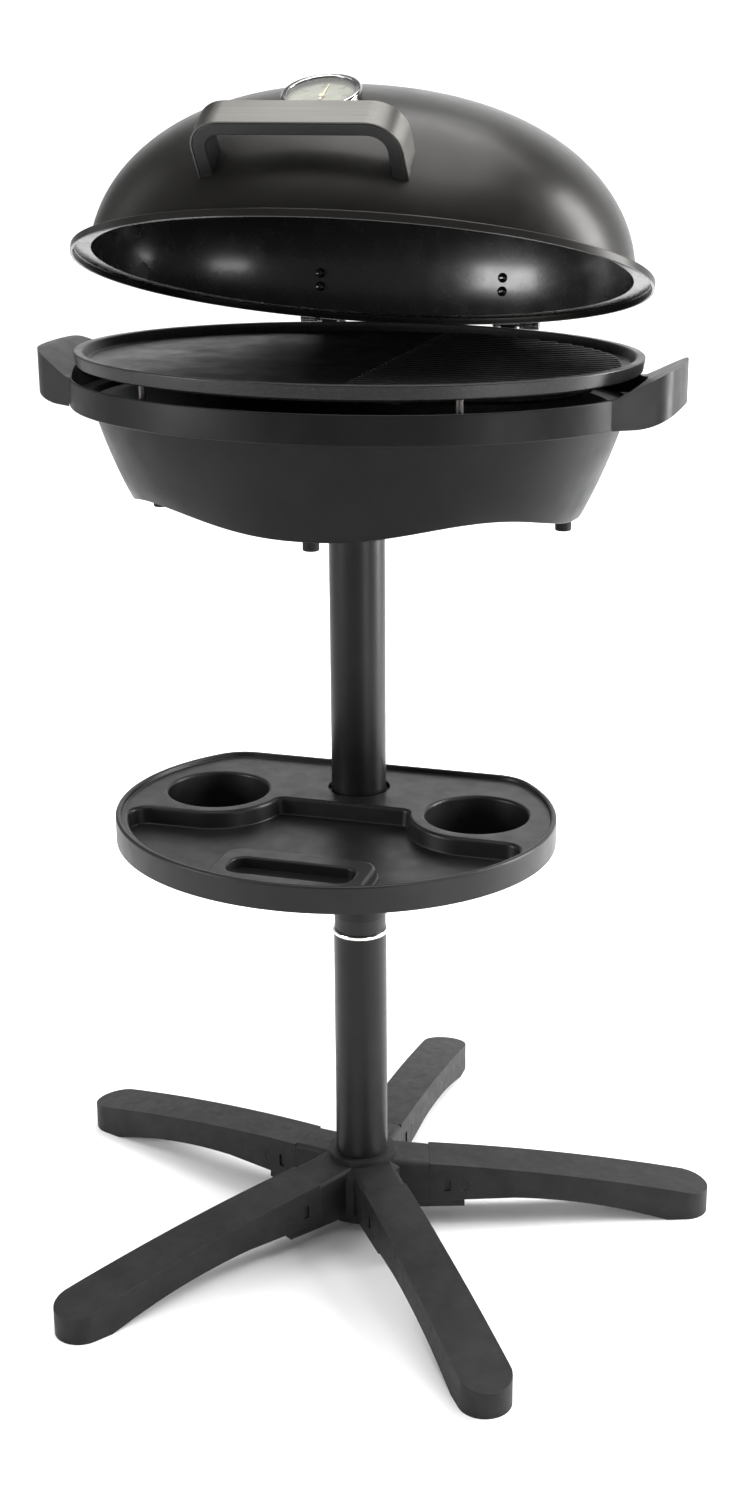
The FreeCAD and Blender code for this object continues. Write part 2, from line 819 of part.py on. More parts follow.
def grill_plate():
    inner = plate_half_width - plate_rim_width
    floor_r = inner - plate_inner_draft
    wall_low = plate_rim - plate_wall_height
    outer = plate_half_width - plate_draft
    pan = turned_outline([(0, plate_under), (floor_r, plate_under), (outer - plate_rim_width, wall_low),
                          (outer, wall_low), (plate_half_width, plate_rim), (inner, plate_rim),
                          (floor_r, plate_floor), (0, plate_floor)])
    rims = [e for e in pan.Edges if e.BoundBox.ZMin > plate_rim - seat_gap]
    body = oval(pan.makeFillet(plate_edge_radius, rims))
    zone = oval(post(floor_r - rib_end_gap, 0, 0, plate_floor - rib_height, plate_floor + rib_height))
    rows = int(oval_depth / 2 / rib_pitch)
    ribs = []
    for number in range(-rows, rows + 1):
        y = number * rib_pitch
        bar = box(rib_first_x, oval_width, y - rib_width / 2, y + rib_width / 2, plate_floor - rib_height / 2,
                  plate_floor + rib_height).common(zone)
        if bar.Volume > rib_pitch ** 3:
            ribs.append(bar)
    body = joined([body] + ribs)
    return body.cut(post(drain_diameter / 2, drain_x, drain_y, plate_under - overrun, plate_rim))


def plate_feet():
    angle = math.radians(plate_foot_angle)
    x = plate_foot_half_width * math.cos(angle)
    y = plate_foot_half_width * math.sin(angle) * depth_share
    low = plate_rim - plate_wall_height
    feet = []
    for px, py in ((x, y), (-x, y), (-x, -y), (x, -y)):
        stem = post(plate_foot_diameter / 2, px, py, ledge, low)
        collar = post(plate_foot_collar / 2, px, py, ledge, ledge + plate_foot_collar_height)
        feet.append(joined([stem, collar]))
    return Part.makeCompound(feet)


def element_path():
    z = element_z
    half = element_half_length
    deep = element_half_depth
    turn = element_bend
    term = element_terminal_x
    quarter = turn * math.sqrt(0.5)
    start = Vector(-term, element_end_y, z)
    first = Vector(-term, deep + turn, z)
    second = Vector(-term - turn, deep, z)
    bend = Vector(-term - turn + quarter, deep + turn - quarter, z)
    left = [Vector(-half, deep, z), Vector(-half - deep, 0, z), Vector(-half, -deep, z)]
    right = [Vector(half, -deep, z), Vector(half + deep, 0, z), Vector(half, deep, z)]
    edges = lines([start, first]) + [arc(first, bend, second)] + lines([second, left[0]]) + [arc(*left)]
    edges += lines([left[2], right[0]]) + [arc(*right)]
    flip = FreeCAD.Matrix()
    flip.A11 = -1
    edges += lines([right[2], flip * second]) + [arc(flip * second, flip * bend, flip * first)]
    edges += lines([flip * first, flip * start])
    return Part.Wire(edges)


def heating_element():
    start = Vector(-element_terminal_x, element_end_y, element_z)
    section = Part.Wire(Part.Circle(start, Vector(0, 1, 0), element_diameter / 2).toShape())
    return element_path().makePipeShell([section], True, False)


def clip_places():
    half = element_half_length / 2
    return [(-half, element_half_depth), (half, element_half_depth), (-half, -element_half_depth),
            (half, -element_half_depth)]


def element_clips():
    clips = []
    radius = element_diameter / 2
    for x, y in clip_places():
        low = element_z - radius - clip_wall
        half = radius + clip_wall
        saddle = box(x - clip_width / 2, x + clip_width / 2, y - half, y + half, low, plate_under)
        middle = Vector(x, y, element_z)
        along = Vector(clip_width, 0, 0)
        clips.append(saddle.cut(rod(radius + running_gap, middle - along, middle + along)))
    return Part.makeCompound(clips)


def reflector():
    top = ledge + reflector_wall
    floor = ledge - reflector_depth
    wall = reflector_wall
    low = reflector_bottom_half_width
    high = reflector_top_half_width
    flange = reflector_flange_half_width
    return oval(turned_outline([(0, floor), (low, floor), (high, ledge), (flange, ledge), (flange, top),
                                (high - wall, top), (low - wall, floor + wall), (0, floor + wall)]))


def drip_tray():
    floor = ledge - reflector_depth + reflector_wall
    wall = drip_tray_wall
    rim = floor + drip_tray_height
    inner = drip_tray_radius - wall
    dish = turned_outline([(0, floor), (drip_tray_radius, floor), (drip_tray_radius, rim), (inner, rim),
                           (inner, floor + wall), (0, floor + wall)])
    dish.translate(Vector(drain_x, drain_y, 0))
    return dish


def inlet_housing():
    top = plate_under - seat_gap
    wall = inlet_wall
    body = box(-inlet_half_width, inlet_half_width, inlet_front, inlet_rear, inlet_bottom, top)
    back = inlet_front + inlet_back_wall
    mouth = box(wall - inlet_half_width, inlet_half_width - wall, back, inlet_rear + overrun,
                inlet_bottom + wall, top - wall)
    body = body.cut(mouth)
    for x, radius in terminal_places():
        body = body.cut(rod(radius + running_gap, Vector(x, inlet_front - overrun, element_z),
                            Vector(x, inlet_rear, element_z)))
    return body


def terminal_places():
    return [(-element_terminal_x, element_diameter / 2), (element_terminal_x, element_diameter / 2),
            (0, probe_diameter / 2)]


def inlet_pins():
    pins = []
    for x in (-element_terminal_x, element_terminal_x):
        start = Vector(x, element_end_y, element_z)
        pins.append(rod(inlet_pin_diameter / 2, start, start + Vector(0, inlet_pin_length, 0)))
    probe = rod(probe_diameter / 2, Vector(0, inlet_front - inlet_back_wall, element_z),
                Vector(0, element_end_y + inlet_pin_length / 2, element_z))
    return Part.makeCompound(pins + [probe])


def dome_point(share, grow):
    angle = share * math.pi / 2
    r = (dome_half_width + grow) * math.cos(angle) ** dome_round_share
    z = (dome_height + grow) * math.sin(angle) ** dome_rise_share
    return Vector(r, 0, dome_base + z)


def dome_heading(share):
    if share == 0:
        return Vector(0, 0, 1)
    if share == 1:
        return Vector(-1, 0, 0)
    return (dome_point(share + dome_slope_share, 0) - dome_point(share - dome_slope_share, 0)).normalize()


def dome_edges(grow):
    edges = []
    for number in range(dome_spans):
        first = number / dome_spans
        second = (number + 1) / dome_spans
        start = dome_point(first, grow)
        end = dome_point(second, grow)
        pull = (end - start).Length / 3
        curve = Part.BezierCurve()
        curve.setPoles([start, start + dome_heading(first) * pull, end - dome_heading(second) * pull, end])
        edges.append(curve.toShape())
    return edges


def dome_block(grow):
    edges = dome_edges(grow)
    base = lines([Vector(0, 0, dome_base + dome_height + grow), Vector(0, 0, dome_base), dome_point(0, grow)])
    return oval(turned(edges + base))


def meridian(share):
    """Place on the dome's front meridian, and the angle of its normal from upright, in degrees."""
    place = dome_point(share, 0)
    heading = dome_heading(share)
    angle = math.degrees(math.atan2(heading.z, -heading.x * depth_share))
    return Vector(0, -place.x * depth_share, place.z), angle


def dome_side(x, height):
    """Place on the dome behind the bowl at a height over its base, and the outward normal there."""
    lift = math.asin((height / dome_height) ** (1 / dome_rise_share))
    spread = dome_half_width * math.cos(lift) ** dome_round_share
    y = depth_share * math.sqrt(spread ** 2 - x ** 2)
    slope = dome_round_share * math.tan(lift) ** 2 * spread / (dome_rise_share * height)
    normal = Vector(x / spread, y / spread / depth_share ** 2, slope)
    return Vector(x, y, dome_base + height), normal.normalize()


def opened(shape):
    copy = shape.copy()
    copy.rotate(Vector(0, hinge_y, hinge_z), Vector(-1, 0, 0), lid_open_angle)
    return copy


def on_dome(shape, place, tilt):
    copy = shape.copy()
    copy.Placement = FreeCAD.Placement(place, FreeCAD.Rotation(Vector(1, 0, 0), tilt))
    return copy


def lid():
    outer = dome_edges(0)
    inner = dome_edges(-lid_sheet)
    hem_low = dome_base - lid_hem_height
    rim = corners([(dome_half_width - lid_sheet, dome_base), (dome_half_width - lid_sheet, lid_seat),
                   (lid_half_width - lid_hem, lid_seat), (lid_half_width - lid_hem, hem_low + lid_hem / 2),
                   (lid_half_width - lid_hem / 2, hem_low), (lid_half_width, hem_low + lid_hem / 2),
                   (lid_half_width, lid_seat), (lid_half_width - lid_sheet, dome_base),
                   (dome_half_width, dome_base)])
    crown = lines(corners([(0, dome_base + dome_height), (0, dome_base + dome_height - lid_sheet)]))
    body = oval(turned(outer + crown + inner[::-1] + lines(rim)))
    place, tilt = meridian(dial_rise_share)
    stem = post(stem_diameter / 2 + running_gap, 0, 0, -overrun, overrun)
    holes = [on_dome(stem, place, tilt)] + handle_screw_holes() + hinge_screw_holes()
    return opened(body.cut(holes))


def bow_face(outer, thickness, foot):
    inner = outer - thickness
    radius = handle_corner_radius - handle_half_span + outer
    inner_radius = radius - thickness
    top = handle_reach - handle_half_span + outer
    bend = radius * (1 - math.sqrt(0.5))
    inner_bend = inner_radius * (1 - math.sqrt(0.5))
    low = top - thickness
    outside = [Vector(-outer, 0, foot), Vector(-outer, 0, top - radius), Vector(radius - outer, 0, top),
               Vector(outer - radius, 0, top), Vector(outer, 0, top - radius), Vector(outer, 0, foot)]
    inside = [Vector(inner, 0, foot), Vector(inner, 0, low - inner_radius),
              Vector(inner - inner_radius, 0, low), Vector(inner_radius - inner, 0, low),
              Vector(-inner, 0, low - inner_radius), Vector(-inner, 0, foot)]
    edges = lines(outside[:2])
    edges.append(arc(outside[1], Vector(bend - outer, 0, top - bend), outside[2]))
    edges += lines(outside[2:4])
    edges.append(arc(outside[3], Vector(outer - bend, 0, top - bend), outside[4]))
    edges += lines(outside[4:] + inside[:2])
    edges.append(arc(inside[1], Vector(inner - inner_bend, 0, low - inner_bend), inside[2]))
    edges += lines(inside[2:4])
    edges.append(arc(inside[3], Vector(inner_bend - inner, 0, low - inner_bend), inside[4]))
    edges += lines(inside[4:] + outside[:1])
    return Part.Face(Part.Wire(edges))


def bow(outer, thickness, width):
    face = bow_face(outer, thickness, -handle_reach)
    face.translate(Vector(0, -width / 2, 0))
    body = face.extrude(Vector(0, width, 0))
    place, _ = meridian(handle_rise_share)
    return on_dome(body, place, handle_tilt).cut(dome_block(seat_gap / 2))


def outside_dome(point):
    lift = math.asin(((point.z - dome_base) / dome_height) ** (1 / dome_rise_share))
    spread = dome_half_width * math.cos(lift) ** dome_round_share
    return math.hypot(point.x, point.y / depth_share) > spread


def handle_screw_line(x):
    """Where a line along the handle's leg comes out of the dome, and its direction."""
    place, _ = meridian(handle_rise_share)
    tilt = math.radians(handle_tilt)
    along = Vector(0, -math.sin(tilt), math.cos(tilt))
    start = Vector(x, place.y, place.z)
    while outside_dome(start):
        start = start - along * running_gap
    return start, along


def handle_screw_x():
    return handle_half_span - handle_thickness / 2


def handle_screw_holes():
    holes = []
    for side in (-1, 1):
        start, along = handle_screw_line(side * handle_screw_x())
        holes.append(rod(small_screw_radius + running_gap, start - along * overrun,
                         start + along * handle_screw_length))
    return holes


def lid_handle():
    body = bow(handle_half_span, handle_thickness, handle_width)
    edges = [e for e in body.Edges if e.Length > handle_half_span]
    body = body.makeFillet(trim_thickness, edges)
    for hole in handle_screw_holes():
        body = body.cut(hole)
    return opened(body)


def handle_trim():
    return opened(bow(handle_half_span + trim_thickness, trim_thickness, handle_width))


def handle_screws():
    screws = []
    for side in (-1, 1):
        start, along = handle_screw_line(side * handle_screw_x())
        seat = start - along * handle_screw_seat
        whole = screw(small_screw_radius, small_screw_head / 2, small_screw_head_height, seat, along,
                      handle_screw_length)
        screws.append(opened(whole))
    return Part.makeCompound(screws)


def dial_places():
    place, tilt = meridian(dial_rise_share)
    radians = math.radians(tilt)
    return place + Vector(0, -math.sin(radians), math.cos(radians)) * seat_gap, tilt


def on_dial(shape):
    place, tilt = dial_places()
    return opened(on_dome(shape, place, tilt))


def thermometer_case():
    outer = bezel_diameter / 2 - case_wall
    cup = post(outer, 0, 0, 0, case_height).cut(post(outer - case_wall, 0, 0, case_wall, case_height))
    stem = post(stem_diameter / 2, 0, 0, -stem_length, case_wall)
    return on_dial(joined([cup, stem]))


def thermometer_dial():
    radius = bezel_diameter / 2 - case_wall * 2 - running_gap
    disc = post(radius, 0, 0, case_wall, case_wall + dial_thickness)
    return on_dial(disc.cut(post(needle_pin_diameter / 2 + running_gap, 0, 0, 0, case_height)))


def thermometer_needle():
    z = case_wall + dial_thickness + needle_lift
    half = needle_width / 2
    tip = half / 3
    blade = slab(Part.makePolygon([Vector(-half, -needle_tail, 0), Vector(half, -needle_tail, 0),
                                   Vector(tip, needle_length, 0), Vector(-tip, needle_length, 0),
                                   Vector(-half, -needle_tail, 0)]), z, z + needle_thickness)
    hub = post(needle_hub_diameter / 2, 0, 0, z, z + needle_thickness * 2)
    pin = post(needle_pin_diameter / 2, 0, 0, case_wall + running_gap, z)
    return on_dial(joined([blade, hub, pin]))


def thermometer_glass():
    radius = bezel_diameter / 2 - case_wall
    top = case_height + glass_thickness
    return on_dial(post(radius, 0, 0, case_height, top))


def thermometer_bezel():
    outer = bezel_diameter / 2
    top = case_height + glass_thickness
    wall = case_wall - running_gap
    inner = outer - bezel_width
    crown = top + case_wall
    under = top + running_gap
    return on_dial(turned_outline([(outer - wall, case_wall), (outer, case_wall), (outer, top),
                                   (outer - case_wall, crown), (inner, crown), (inner, under),
                                   (outer - wall, under)]))


def thermometer_nut():
    radius = stem_nut_across / math.sqrt(3)
    turns = [math.pi / 3 * number for number in range(7)]
    points = [Vector(radius * math.cos(turn), radius * math.sin(turn), 0) for turn in turns]
    nut = slab(Part.makePolygon(points), -stem_nut_seat - stem_nut_height, -stem_nut_seat)
    return on_dial(nut.cut(post(stem_diameter / 2 + running_gap, 0, 0, -stem_length, 0)))


def hinge_screw_lines():
    return [dome_side(hinge_x, height) for height in (hinge_screw_low, hinge_screw_high)]


def hinge_screw_holes():
    holes = []
    for place, normal in hinge_screw_lines():
        hole = rod(small_screw_radius + running_gap, place - normal * overrun, place + normal * overrun)
        holes += [hole, mirrored(hole)]
    return holes


def pin_bore(axis):
    half = Vector(hinge_x, 0, 0)
    return rod(pin_diameter / 2 + running_gap, axis - half, axis + half)


def hinge_leaf():
    half = knuckle_width / 2
    strip = box(hinge_x - half, hinge_x + half, 0, oval_depth, dome_base, dome_base + leaf_rise)
    plate = strip.common(dome_block(seat_gap + leaf_thickness)).cut(dome_block(seat_gap))
    low = dome_base + seat_gap
    place, _ = dome_side(hinge_x, leaf_thickness)
    arm = box(hinge_x - half, hinge_x + half, place.y - half, hinge_y, low, low + leaf_thickness)
    arm = arm.cut(dome_block(seat_gap))
    axis = Vector(hinge_x, hinge_y, hinge_z)
    knuckle = rod(knuckle_radius, axis - Vector(half, 0, 0), axis + Vector(half, 0, 0))
    plate = plate.cut(box(0, oval_width, 0, oval_depth, 0, low))
    body = plate.multiFuse([arm, knuckle]).cut(pin_bore(axis))
    for hole in hinge_screw_holes():
        body = body.cut(hole)
    return opened(body)


def hinge_screws():
    screws = []
    for place, normal in hinge_screw_lines():
        seat = place - normal * lid_sheet
        whole = screw(small_screw_radius, hinge_screw_head / 2, hinge_screw_head_height, seat, normal,
                      lid_sheet + leaf_thickness + seat_gap)
        screws += [opened(whole), opened(mirrored(whole))]
    return Part.makeCompound(screws)


def hinge_bracket():
    face = pad_face()
    half = knuckle_width / 2 + ear_gap + ear_thickness
    plate = box(hinge_x - half, hinge_x + half, face, face + bracket_plate, band_bottom, band_top)
    eye = Vector(0, hinge_y, hinge_z)
    sideways = Vector(0, ear_radius, 0)
    foot = Vector(0, face + bracket_foot_depth, band_bottom)
    outline = [Vector(0, face, band_bottom), foot, eye + sideways,
               eye + Vector(0, 0, ear_radius), eye - sideways, Vector(0, face, band_top)]
    sides = lines(outline[:3]) + [arc(*outline[2:5])] + lines(outline[4:] + outline[:1])
    ear = Part.Face(Part.Wire(sides)).extrude(Vector(ear_thickness, 0, 0))
    ears = []
    for x in (hinge_x - half, hinge_x + half - ear_thickness):
        copy = ear.copy()
        copy.translate(Vector(x, 0, 0))
        ears.append(copy)
    body = joined([plate] + ears).cut(pin_bore(Vector(hinge_x, hinge_y, hinge_z)))
    for x, z in bracket_screw_places():
        start = Vector(x, face - overrun, z)
        body = body.cut(rod(small_screw_radius + running_gap, start, Vector(x, hinge_y, z)))
    return body


def hinge_pin():
    half = knuckle_width / 2 + ear_gap + ear_thickness
    inner = Vector(hinge_x - half - ear_thickness, hinge_y, hinge_z)
    shoulder = Vector(hinge_x + half + seat_gap, hinge_y, hinge_z)
    shaft = rod(pin_diameter / 2, inner, shoulder)
    grip_end = rod(pin_grip_diameter / 2, shoulder, shoulder + Vector(pin_grip_length, 0, 0))
    rims = [e for e in grip_end.Edges if e.Length > pin_grip_diameter and e.BoundBox.XLength < seat_gap]
    return joined([shaft, grip_end.makeChamfer(ear_thickness / 3, rims)])


def bracket_screws():
    seat_y = pad_face() + bracket_plate
    screws = []
    for x, z in bracket_screw_places():
        for side in (-1, 1):
            screws.append(screw(small_screw_radius, small_screw_head / 2, small_screw_head_height,
                                Vector(side * x, seat_y, z), Vector(0, -1, 0), bracket_plate + band_wall * 2))
    return Part.makeCompound(screws)


def all_pieces():
    pieces = {"base_hub": base_hub(), "lower_tube": lower_tube(), "upper_tube": upper_tube(),
              "joint_ring": joint_ring(), "joint_sleeve": joint_sleeve()}
    one_leg = leg()
    for number in range(leg_count):
        pieces[f"leg_{number + 1}"] = spun(one_leg, leg_first_angle + 360 / leg_count * number)
    pieces["shelf_tray"] = shelf_tray()
    pieces["tray_screw"] = tray_screw()
    pieces["bowl"] = bowl()
    pieces["bowl_feet"] = bowl_feet()
    pieces["bowl_socket"] = bowl_socket()
    pieces["socket_screws"] = socket_screws()
    right_grip = grip()
    pieces["right_handle"] = right_grip
    pieces["left_handle"] = mirrored(right_grip)
    pieces["side_handle_screws"] = grip_screws()
    pieces["grill_plate"] = grill_plate()
    pieces["plate_feet"] = plate_feet()
    pieces["heating_element"] = heating_element()
    pieces["element_clips"] = element_clips()
    pieces["reflector"] = reflector()
    pieces["drip_tray"] = drip_tray()
    pieces["inlet_housing"] = inlet_housing()
    pieces["inlet_pins"] = inlet_pins()
    pieces["lid"] = lid()
    pieces["lid_handle"] = lid_handle()
    pieces["handle_trim"] = handle_trim()
    pieces["lid_handle_screws"] = handle_screws()
    pieces["thermometer_case"] = thermometer_case()
    pieces["thermometer_dial"] = thermometer_dial()
    pieces["thermometer_needle"] = thermometer_needle()
    pieces["thermometer_glass"] = thermometer_glass()
    pieces["thermometer_bezel"] = thermometer_bezel()
    pieces["thermometer_nut"] = thermometer_nut()
    hinge = {"hinge_leaf": hinge_leaf, "hinge_bracket": hinge_bracket, "hinge_pin": hinge_pin}
    for name, make in hinge.items():
        right = make()
        pieces[f"right_{name}"] = right
        pieces[f"left_{name}"] = mirrored(right)
    pieces["hinge_screws"] = hinge_screws()
    pieces["bracket_screws"] = bracket_screws()
    return pieces


os.makedirs("parts", exist_ok=True)
for name, shape in all_pieces().items():
    shape.exportStep(f"parts/{name}.step")
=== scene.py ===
import math
import bmesh
import bpy
from mathutils import Matrix, Vector


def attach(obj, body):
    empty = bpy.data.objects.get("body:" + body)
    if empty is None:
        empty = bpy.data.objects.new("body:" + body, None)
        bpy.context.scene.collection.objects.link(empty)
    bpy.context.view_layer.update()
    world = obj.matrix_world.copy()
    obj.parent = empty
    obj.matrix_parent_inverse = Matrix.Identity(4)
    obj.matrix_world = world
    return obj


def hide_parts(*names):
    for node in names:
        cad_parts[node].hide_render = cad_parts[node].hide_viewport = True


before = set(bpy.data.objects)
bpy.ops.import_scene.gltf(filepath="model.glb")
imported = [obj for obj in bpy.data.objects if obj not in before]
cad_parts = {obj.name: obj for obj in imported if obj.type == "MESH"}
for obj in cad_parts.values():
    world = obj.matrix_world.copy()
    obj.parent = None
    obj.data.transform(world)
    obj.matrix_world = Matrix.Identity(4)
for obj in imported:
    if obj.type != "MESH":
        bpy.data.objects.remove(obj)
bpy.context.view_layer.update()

# Base hub
# One moulding in matt black plastic: a round socket for the column with five stub arms.
# Tongues on the arms hold the legs, and a low collar closes the joint with the column.
mm = 0.001


def bare():
    """Nothing is selected and no piece is being edited."""
    if bpy.context.object and bpy.context.object.mode != "OBJECT":
        bpy.ops.object.mode_set(mode="OBJECT")
    bpy.ops.object.select_all(action="DESELECT")


def taken_up(piece):
    bare()
    piece.select_set(True)
    bpy.context.view_layer.objects.active = piece


def opened_up(piece):
    """The piece in edit mode, with everything selected."""
    taken_up(piece)
    bpy.ops.object.mode_set(mode="EDIT")
    bpy.ops.mesh.select_mode(type="VERT")
    bpy.ops.mesh.select_all(action="SELECT")


def copied(piece, name):
    """A second piece with a mesh of its own."""
    copy = bpy.data.objects.new(name, piece.data.copy())
    copy.data.name = name
    bpy.context.scene.collection.objects.link(copy)
    return copy


def cast(node, name):
    """A copy of one of the frame's solids, welded, with its flat faces whole again."""
    piece = copied(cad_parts[node], name)
    piece.data.materials.clear()
    taken_up(piece)
    bpy.ops.mesh.customdata_custom_splitnormals_clear()
    opened_up(piece)
    bpy.ops.mesh.remove_doubles(threshold=0.005 * mm)
    bpy.ops.mesh.dissolve_limited(angle_limit=math.radians(0.4))
    bare()
    return piece


def applied(piece, kind, **settings):
    """Adds a modifier with these settings and applies it at once."""
    taken_up(piece)
    tool = piece.modifiers.new(kind.lower(), kind)
    for setting, value in settings.items():
        setattr(tool, setting, value)
    bpy.ops.object.modifier_apply(modifier=tool.name)
    return piece


def rounded(piece, width, segments=3, angle=30):
    """Breaks every edge sharper than the angle with a small radius."""
    return applied(piece, "BEVEL", width=width * mm, segments=segments, limit_method="ANGLE",
                   angle_limit=math.radians(angle), use_clamp_overlap=True)


def settled(piece, finish, body, slot, *nodes, angle=35):
    """Shades a finished piece, gives it its finish and hangs it on its body in place of its solids."""
    taken_up(piece)
    bpy.ops.object.shade_smooth_by_angle(angle=math.radians(angle))
    applied(piece, "WEIGHTED_NORMAL", keep_sharp=True, weight=60)
    if finish:
        piece.data.materials.clear()
        piece.data.materials.append(finish)
    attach(piece, body)
    if nodes:
        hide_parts(*nodes)


def as_solid(node, name, finish, body, slot, edge=0, segments=3, angle=30):
    """A piece that keeps its solid's shape, with its edges broken if a radius is given."""
    piece = cast(node, name)
    if edge:
        rounded(piece, edge, segments, angle)
    settled(piece, finish, body, slot, node)


def new_finish(name, **sockets):
    """A finish with plain numbers on the shader's own sockets, and its parts for the patterns."""
    finish = bpy.data.materials.new(name)
    finish.use_nodes = True
    tree = finish.node_tree
    shader = tree.nodes["Principled BSDF"]
    for socket, value in sockets.items():
        shader.inputs[socket.replace("_", " ")].default_value = value
    place = tree.nodes.new("ShaderNodeTexCoord").outputs["Object"]
    return finish, tree, shader, place


def stretched(tree, place, scale, location=(0, 0, 0), rotation=(0, 0, 0), kind="POINT"):
    """The place with its axes scaled or turned, for a pattern that runs one way."""
    node = tree.nodes.new("ShaderNodeMapping")
    node.vector_type = kind
    node.inputs["Location"].default_value = location
    node.inputs["Rotation"].default_value = rotation
    node.inputs["Scale"].default_value = scale
    tree.links.new(place, node.inputs["Vector"])
    return node.outputs["Vector"]


def clouds(tree, place, scale, detail=3, rough=0.55):
    node = tree.nodes.new("ShaderNodeTexNoise")
    node.inputs["Scale"].default_value = scale
    node.inputs["Detail"].default_value = detail
    node.inputs["Roughness"].default_value = rough
    tree.links.new(place, node.inputs["Vector"])
    return node.outputs["Fac"]


def shades(tree, share, stops, target):
    """Colours along a ramp, from a list of (share, grey or colour), into a socket."""
    node = tree.nodes.new("ShaderNodeValToRGB")
    marks = node.color_ramp.elements
    while len(marks) < len(stops):
        marks.new(0.5)
    for mark, (at, tone) in zip(marks, stops):
        colour = tone if isinstance(tone, tuple) else (tone, tone, tone)
        mark.position = at
        mark.color = (*colour, 1)
    tree.links.new(share, node.inputs["Fac"])
    tree.links.new(node.outputs["Color"], target)


def relief(tree, height, strength, depth, target, under=None):
    """Bump of a given depth in millimetres from a pattern, on top of another bump if one is given."""
    node = tree.nodes.new("ShaderNodeBump")
    node.inputs["Strength"].default_value = strength
    node.inputs["Distance"].default_value = depth * mm
    tree.links.new(height, node.inputs["Height"])
    if under:
        tree.links.new(under, node.inputs["Normal"])
    tree.links.new(node.outputs["Normal"], target)
    return node.outputs["Normal"]


def worked(tree, kind, operation, first, second=None):
    """One step of arithmetic on one or two shares or places."""
    node = tree.nodes.new(kind)
    node.operation = operation
    tree.links.new(first, node.inputs[0])
    if second:
        tree.links.new(second, node.inputs[1])
    return node.outputs["Value"]


def edge_wear(tree, radius):
    """How far the surface turns within a radius in millimetres: 0 on flats, more on edges."""
    smooth = tree.nodes.new("ShaderNodeBevel")
    smooth.samples = 4
    smooth.inputs["Radius"].default_value = radius * mm
    plain = tree.nodes.new("ShaderNodeNewGeometry")
    return worked(tree, "ShaderNodeVectorMath", "DISTANCE", smooth.outputs["Normal"], plain.outputs["Normal"])


def mixed(tree, share, first, second, target):
    """Two tones, each a ramp on a share of its own, mixed by a third share."""
    node = tree.nodes.new("ShaderNodeMix")
    node.data_type = "RGBA"
    tree.links.new(share, node.inputs["Factor"])
    shades(tree, *first, node.inputs["A"])
    shades(tree, *second, node.inputs["B"])
    tree.links.new(node.outputs["Result"], target)


def moulded(name, dark, light, mottle, rough, grain, depth, specular=0.25):
    """Moulded black plastic: flow mottling in tone and gloss, edges painted lighter (partly rub wear, partly
    a painted highlight on the rounded edges) and the mould's grain.
    """
    finish, tree, shader, place = new_finish(name, Specular_IOR_Level=specular)
    drift = clouds(tree, place, mottle, detail=5, rough=0.6)
    rubbed_and_highlit = clouds(tree, place, mottle * 6, detail=4)
    # Edges are mixed to a lighter tone: partly rubbed wear, partly a painted highlight where the rounded
    # edges catch the light.
    mixed(tree, edge_wear(tree, 1.2), (drift, [(0.34, dark), (0.68, light)]),
          (rubbed_and_highlit, [(0.35, light), (0.7, tuple(tone * 2.6 for tone in light))]), shader.inputs["Base Color"])
    shades(tree, clouds(tree, place, mottle * 2.7), [(0.3, rough - 0.05), (0.7, rough + 0.06)],
           shader.inputs["Roughness"])
    fine = relief(tree, clouds(tree, place, grain, detail=2), 0.35, depth, shader.inputs["Normal"])
    relief(tree, drift, 0.25, depth * 3, shader.inputs["Normal"], fine)
    return finish


base_black = moulded("base_black", (0.0075, 0.0075, 0.0078), (0.0145, 0.0145, 0.015), 42, 0.55, 1300, 0.06,
                     0.2)
as_solid("base_hub", "base_hub_moulding", base_black, "stand", "base_plastic", 1.2, angle=28)

# Legs
# Five hollow mouldings of the same matt plastic, each arched from the hub to a rounded toe.
# Each pushes onto a tongue of the hub until a nose snaps into its window, below a round latch mark.
leg_root = 66
leg_reach = 318.5
leg_toe = 24
leg_root_half = 21.5
leg_tops = ((66, 66), (216.25, 48.5), (366.5, 20))
leg_arch = ((300, 0), (225, 19), (150, 27))
leg_heel = (66, 25)
leg_wall = 2.5
leg_sole = 3
leg_edge = 5
leg_turns = (18, 90, 162, 234, 306)
window = (80, 86, 35.5, 48.5)
latch_x = 97
latch_z = 42
latch_radius = 6.5
latch_slit = 0.6
leg_clear = 40
speck = 0.02


def bent(start, middle, end, count):
    """Points on the round line through three places, both ends included."""
    (ax, ay), (bx, by), (cx, cy) = start, middle, end
    a2, b2, c2 = ax * ax + ay * ay, bx * bx + by * by, cx * cx + cy * cy
    d = 2 * (ax * (by - cy) + bx * (cy - ay) + cx * (ay - by))
    ux = (a2 * (by - cy) + b2 * (cy - ay) + c2 * (ay - by)) / d
    uy = (a2 * (cx - bx) + b2 * (ax - cx) + c2 * (bx - ax)) / d
    first = math.atan2(ay - uy, ax - ux)
    passing = (math.atan2(by - uy, bx - ux) - first) % math.tau
    sweep = (math.atan2(cy - uy, cx - ux) - first) % math.tau
    if passing > sweep:
        sweep -= math.tau
    radius = math.hypot(ax - ux, ay - uy)
    turns = [first + sweep * number / count for number in range(count + 1)]
    return [(ux + radius * math.cos(turn), uy + radius * math.sin(turn)) for turn in turns]


def drawn(name, outline, level, upright=False):
    """A flat face with this outline, lying at a level or standing across the object."""
    bare()
    bpy.ops.mesh.primitive_circle_add(vertices=len(outline), radius=mm, fill_type="NGON")
    piece = bpy.context.object
    piece.name = piece.data.name = name
    for vertex, (a, b) in zip(piece.data.vertices, outline):
        vertex.co = Vector((a, level, b) if upright else (a, b, level)) * mm
    piece.data.update()
    if not upright and piece.data.polygons[0].normal.z < 0:
        opened_up(piece)
        bpy.ops.mesh.flip_normals()
        bare()
    return piece


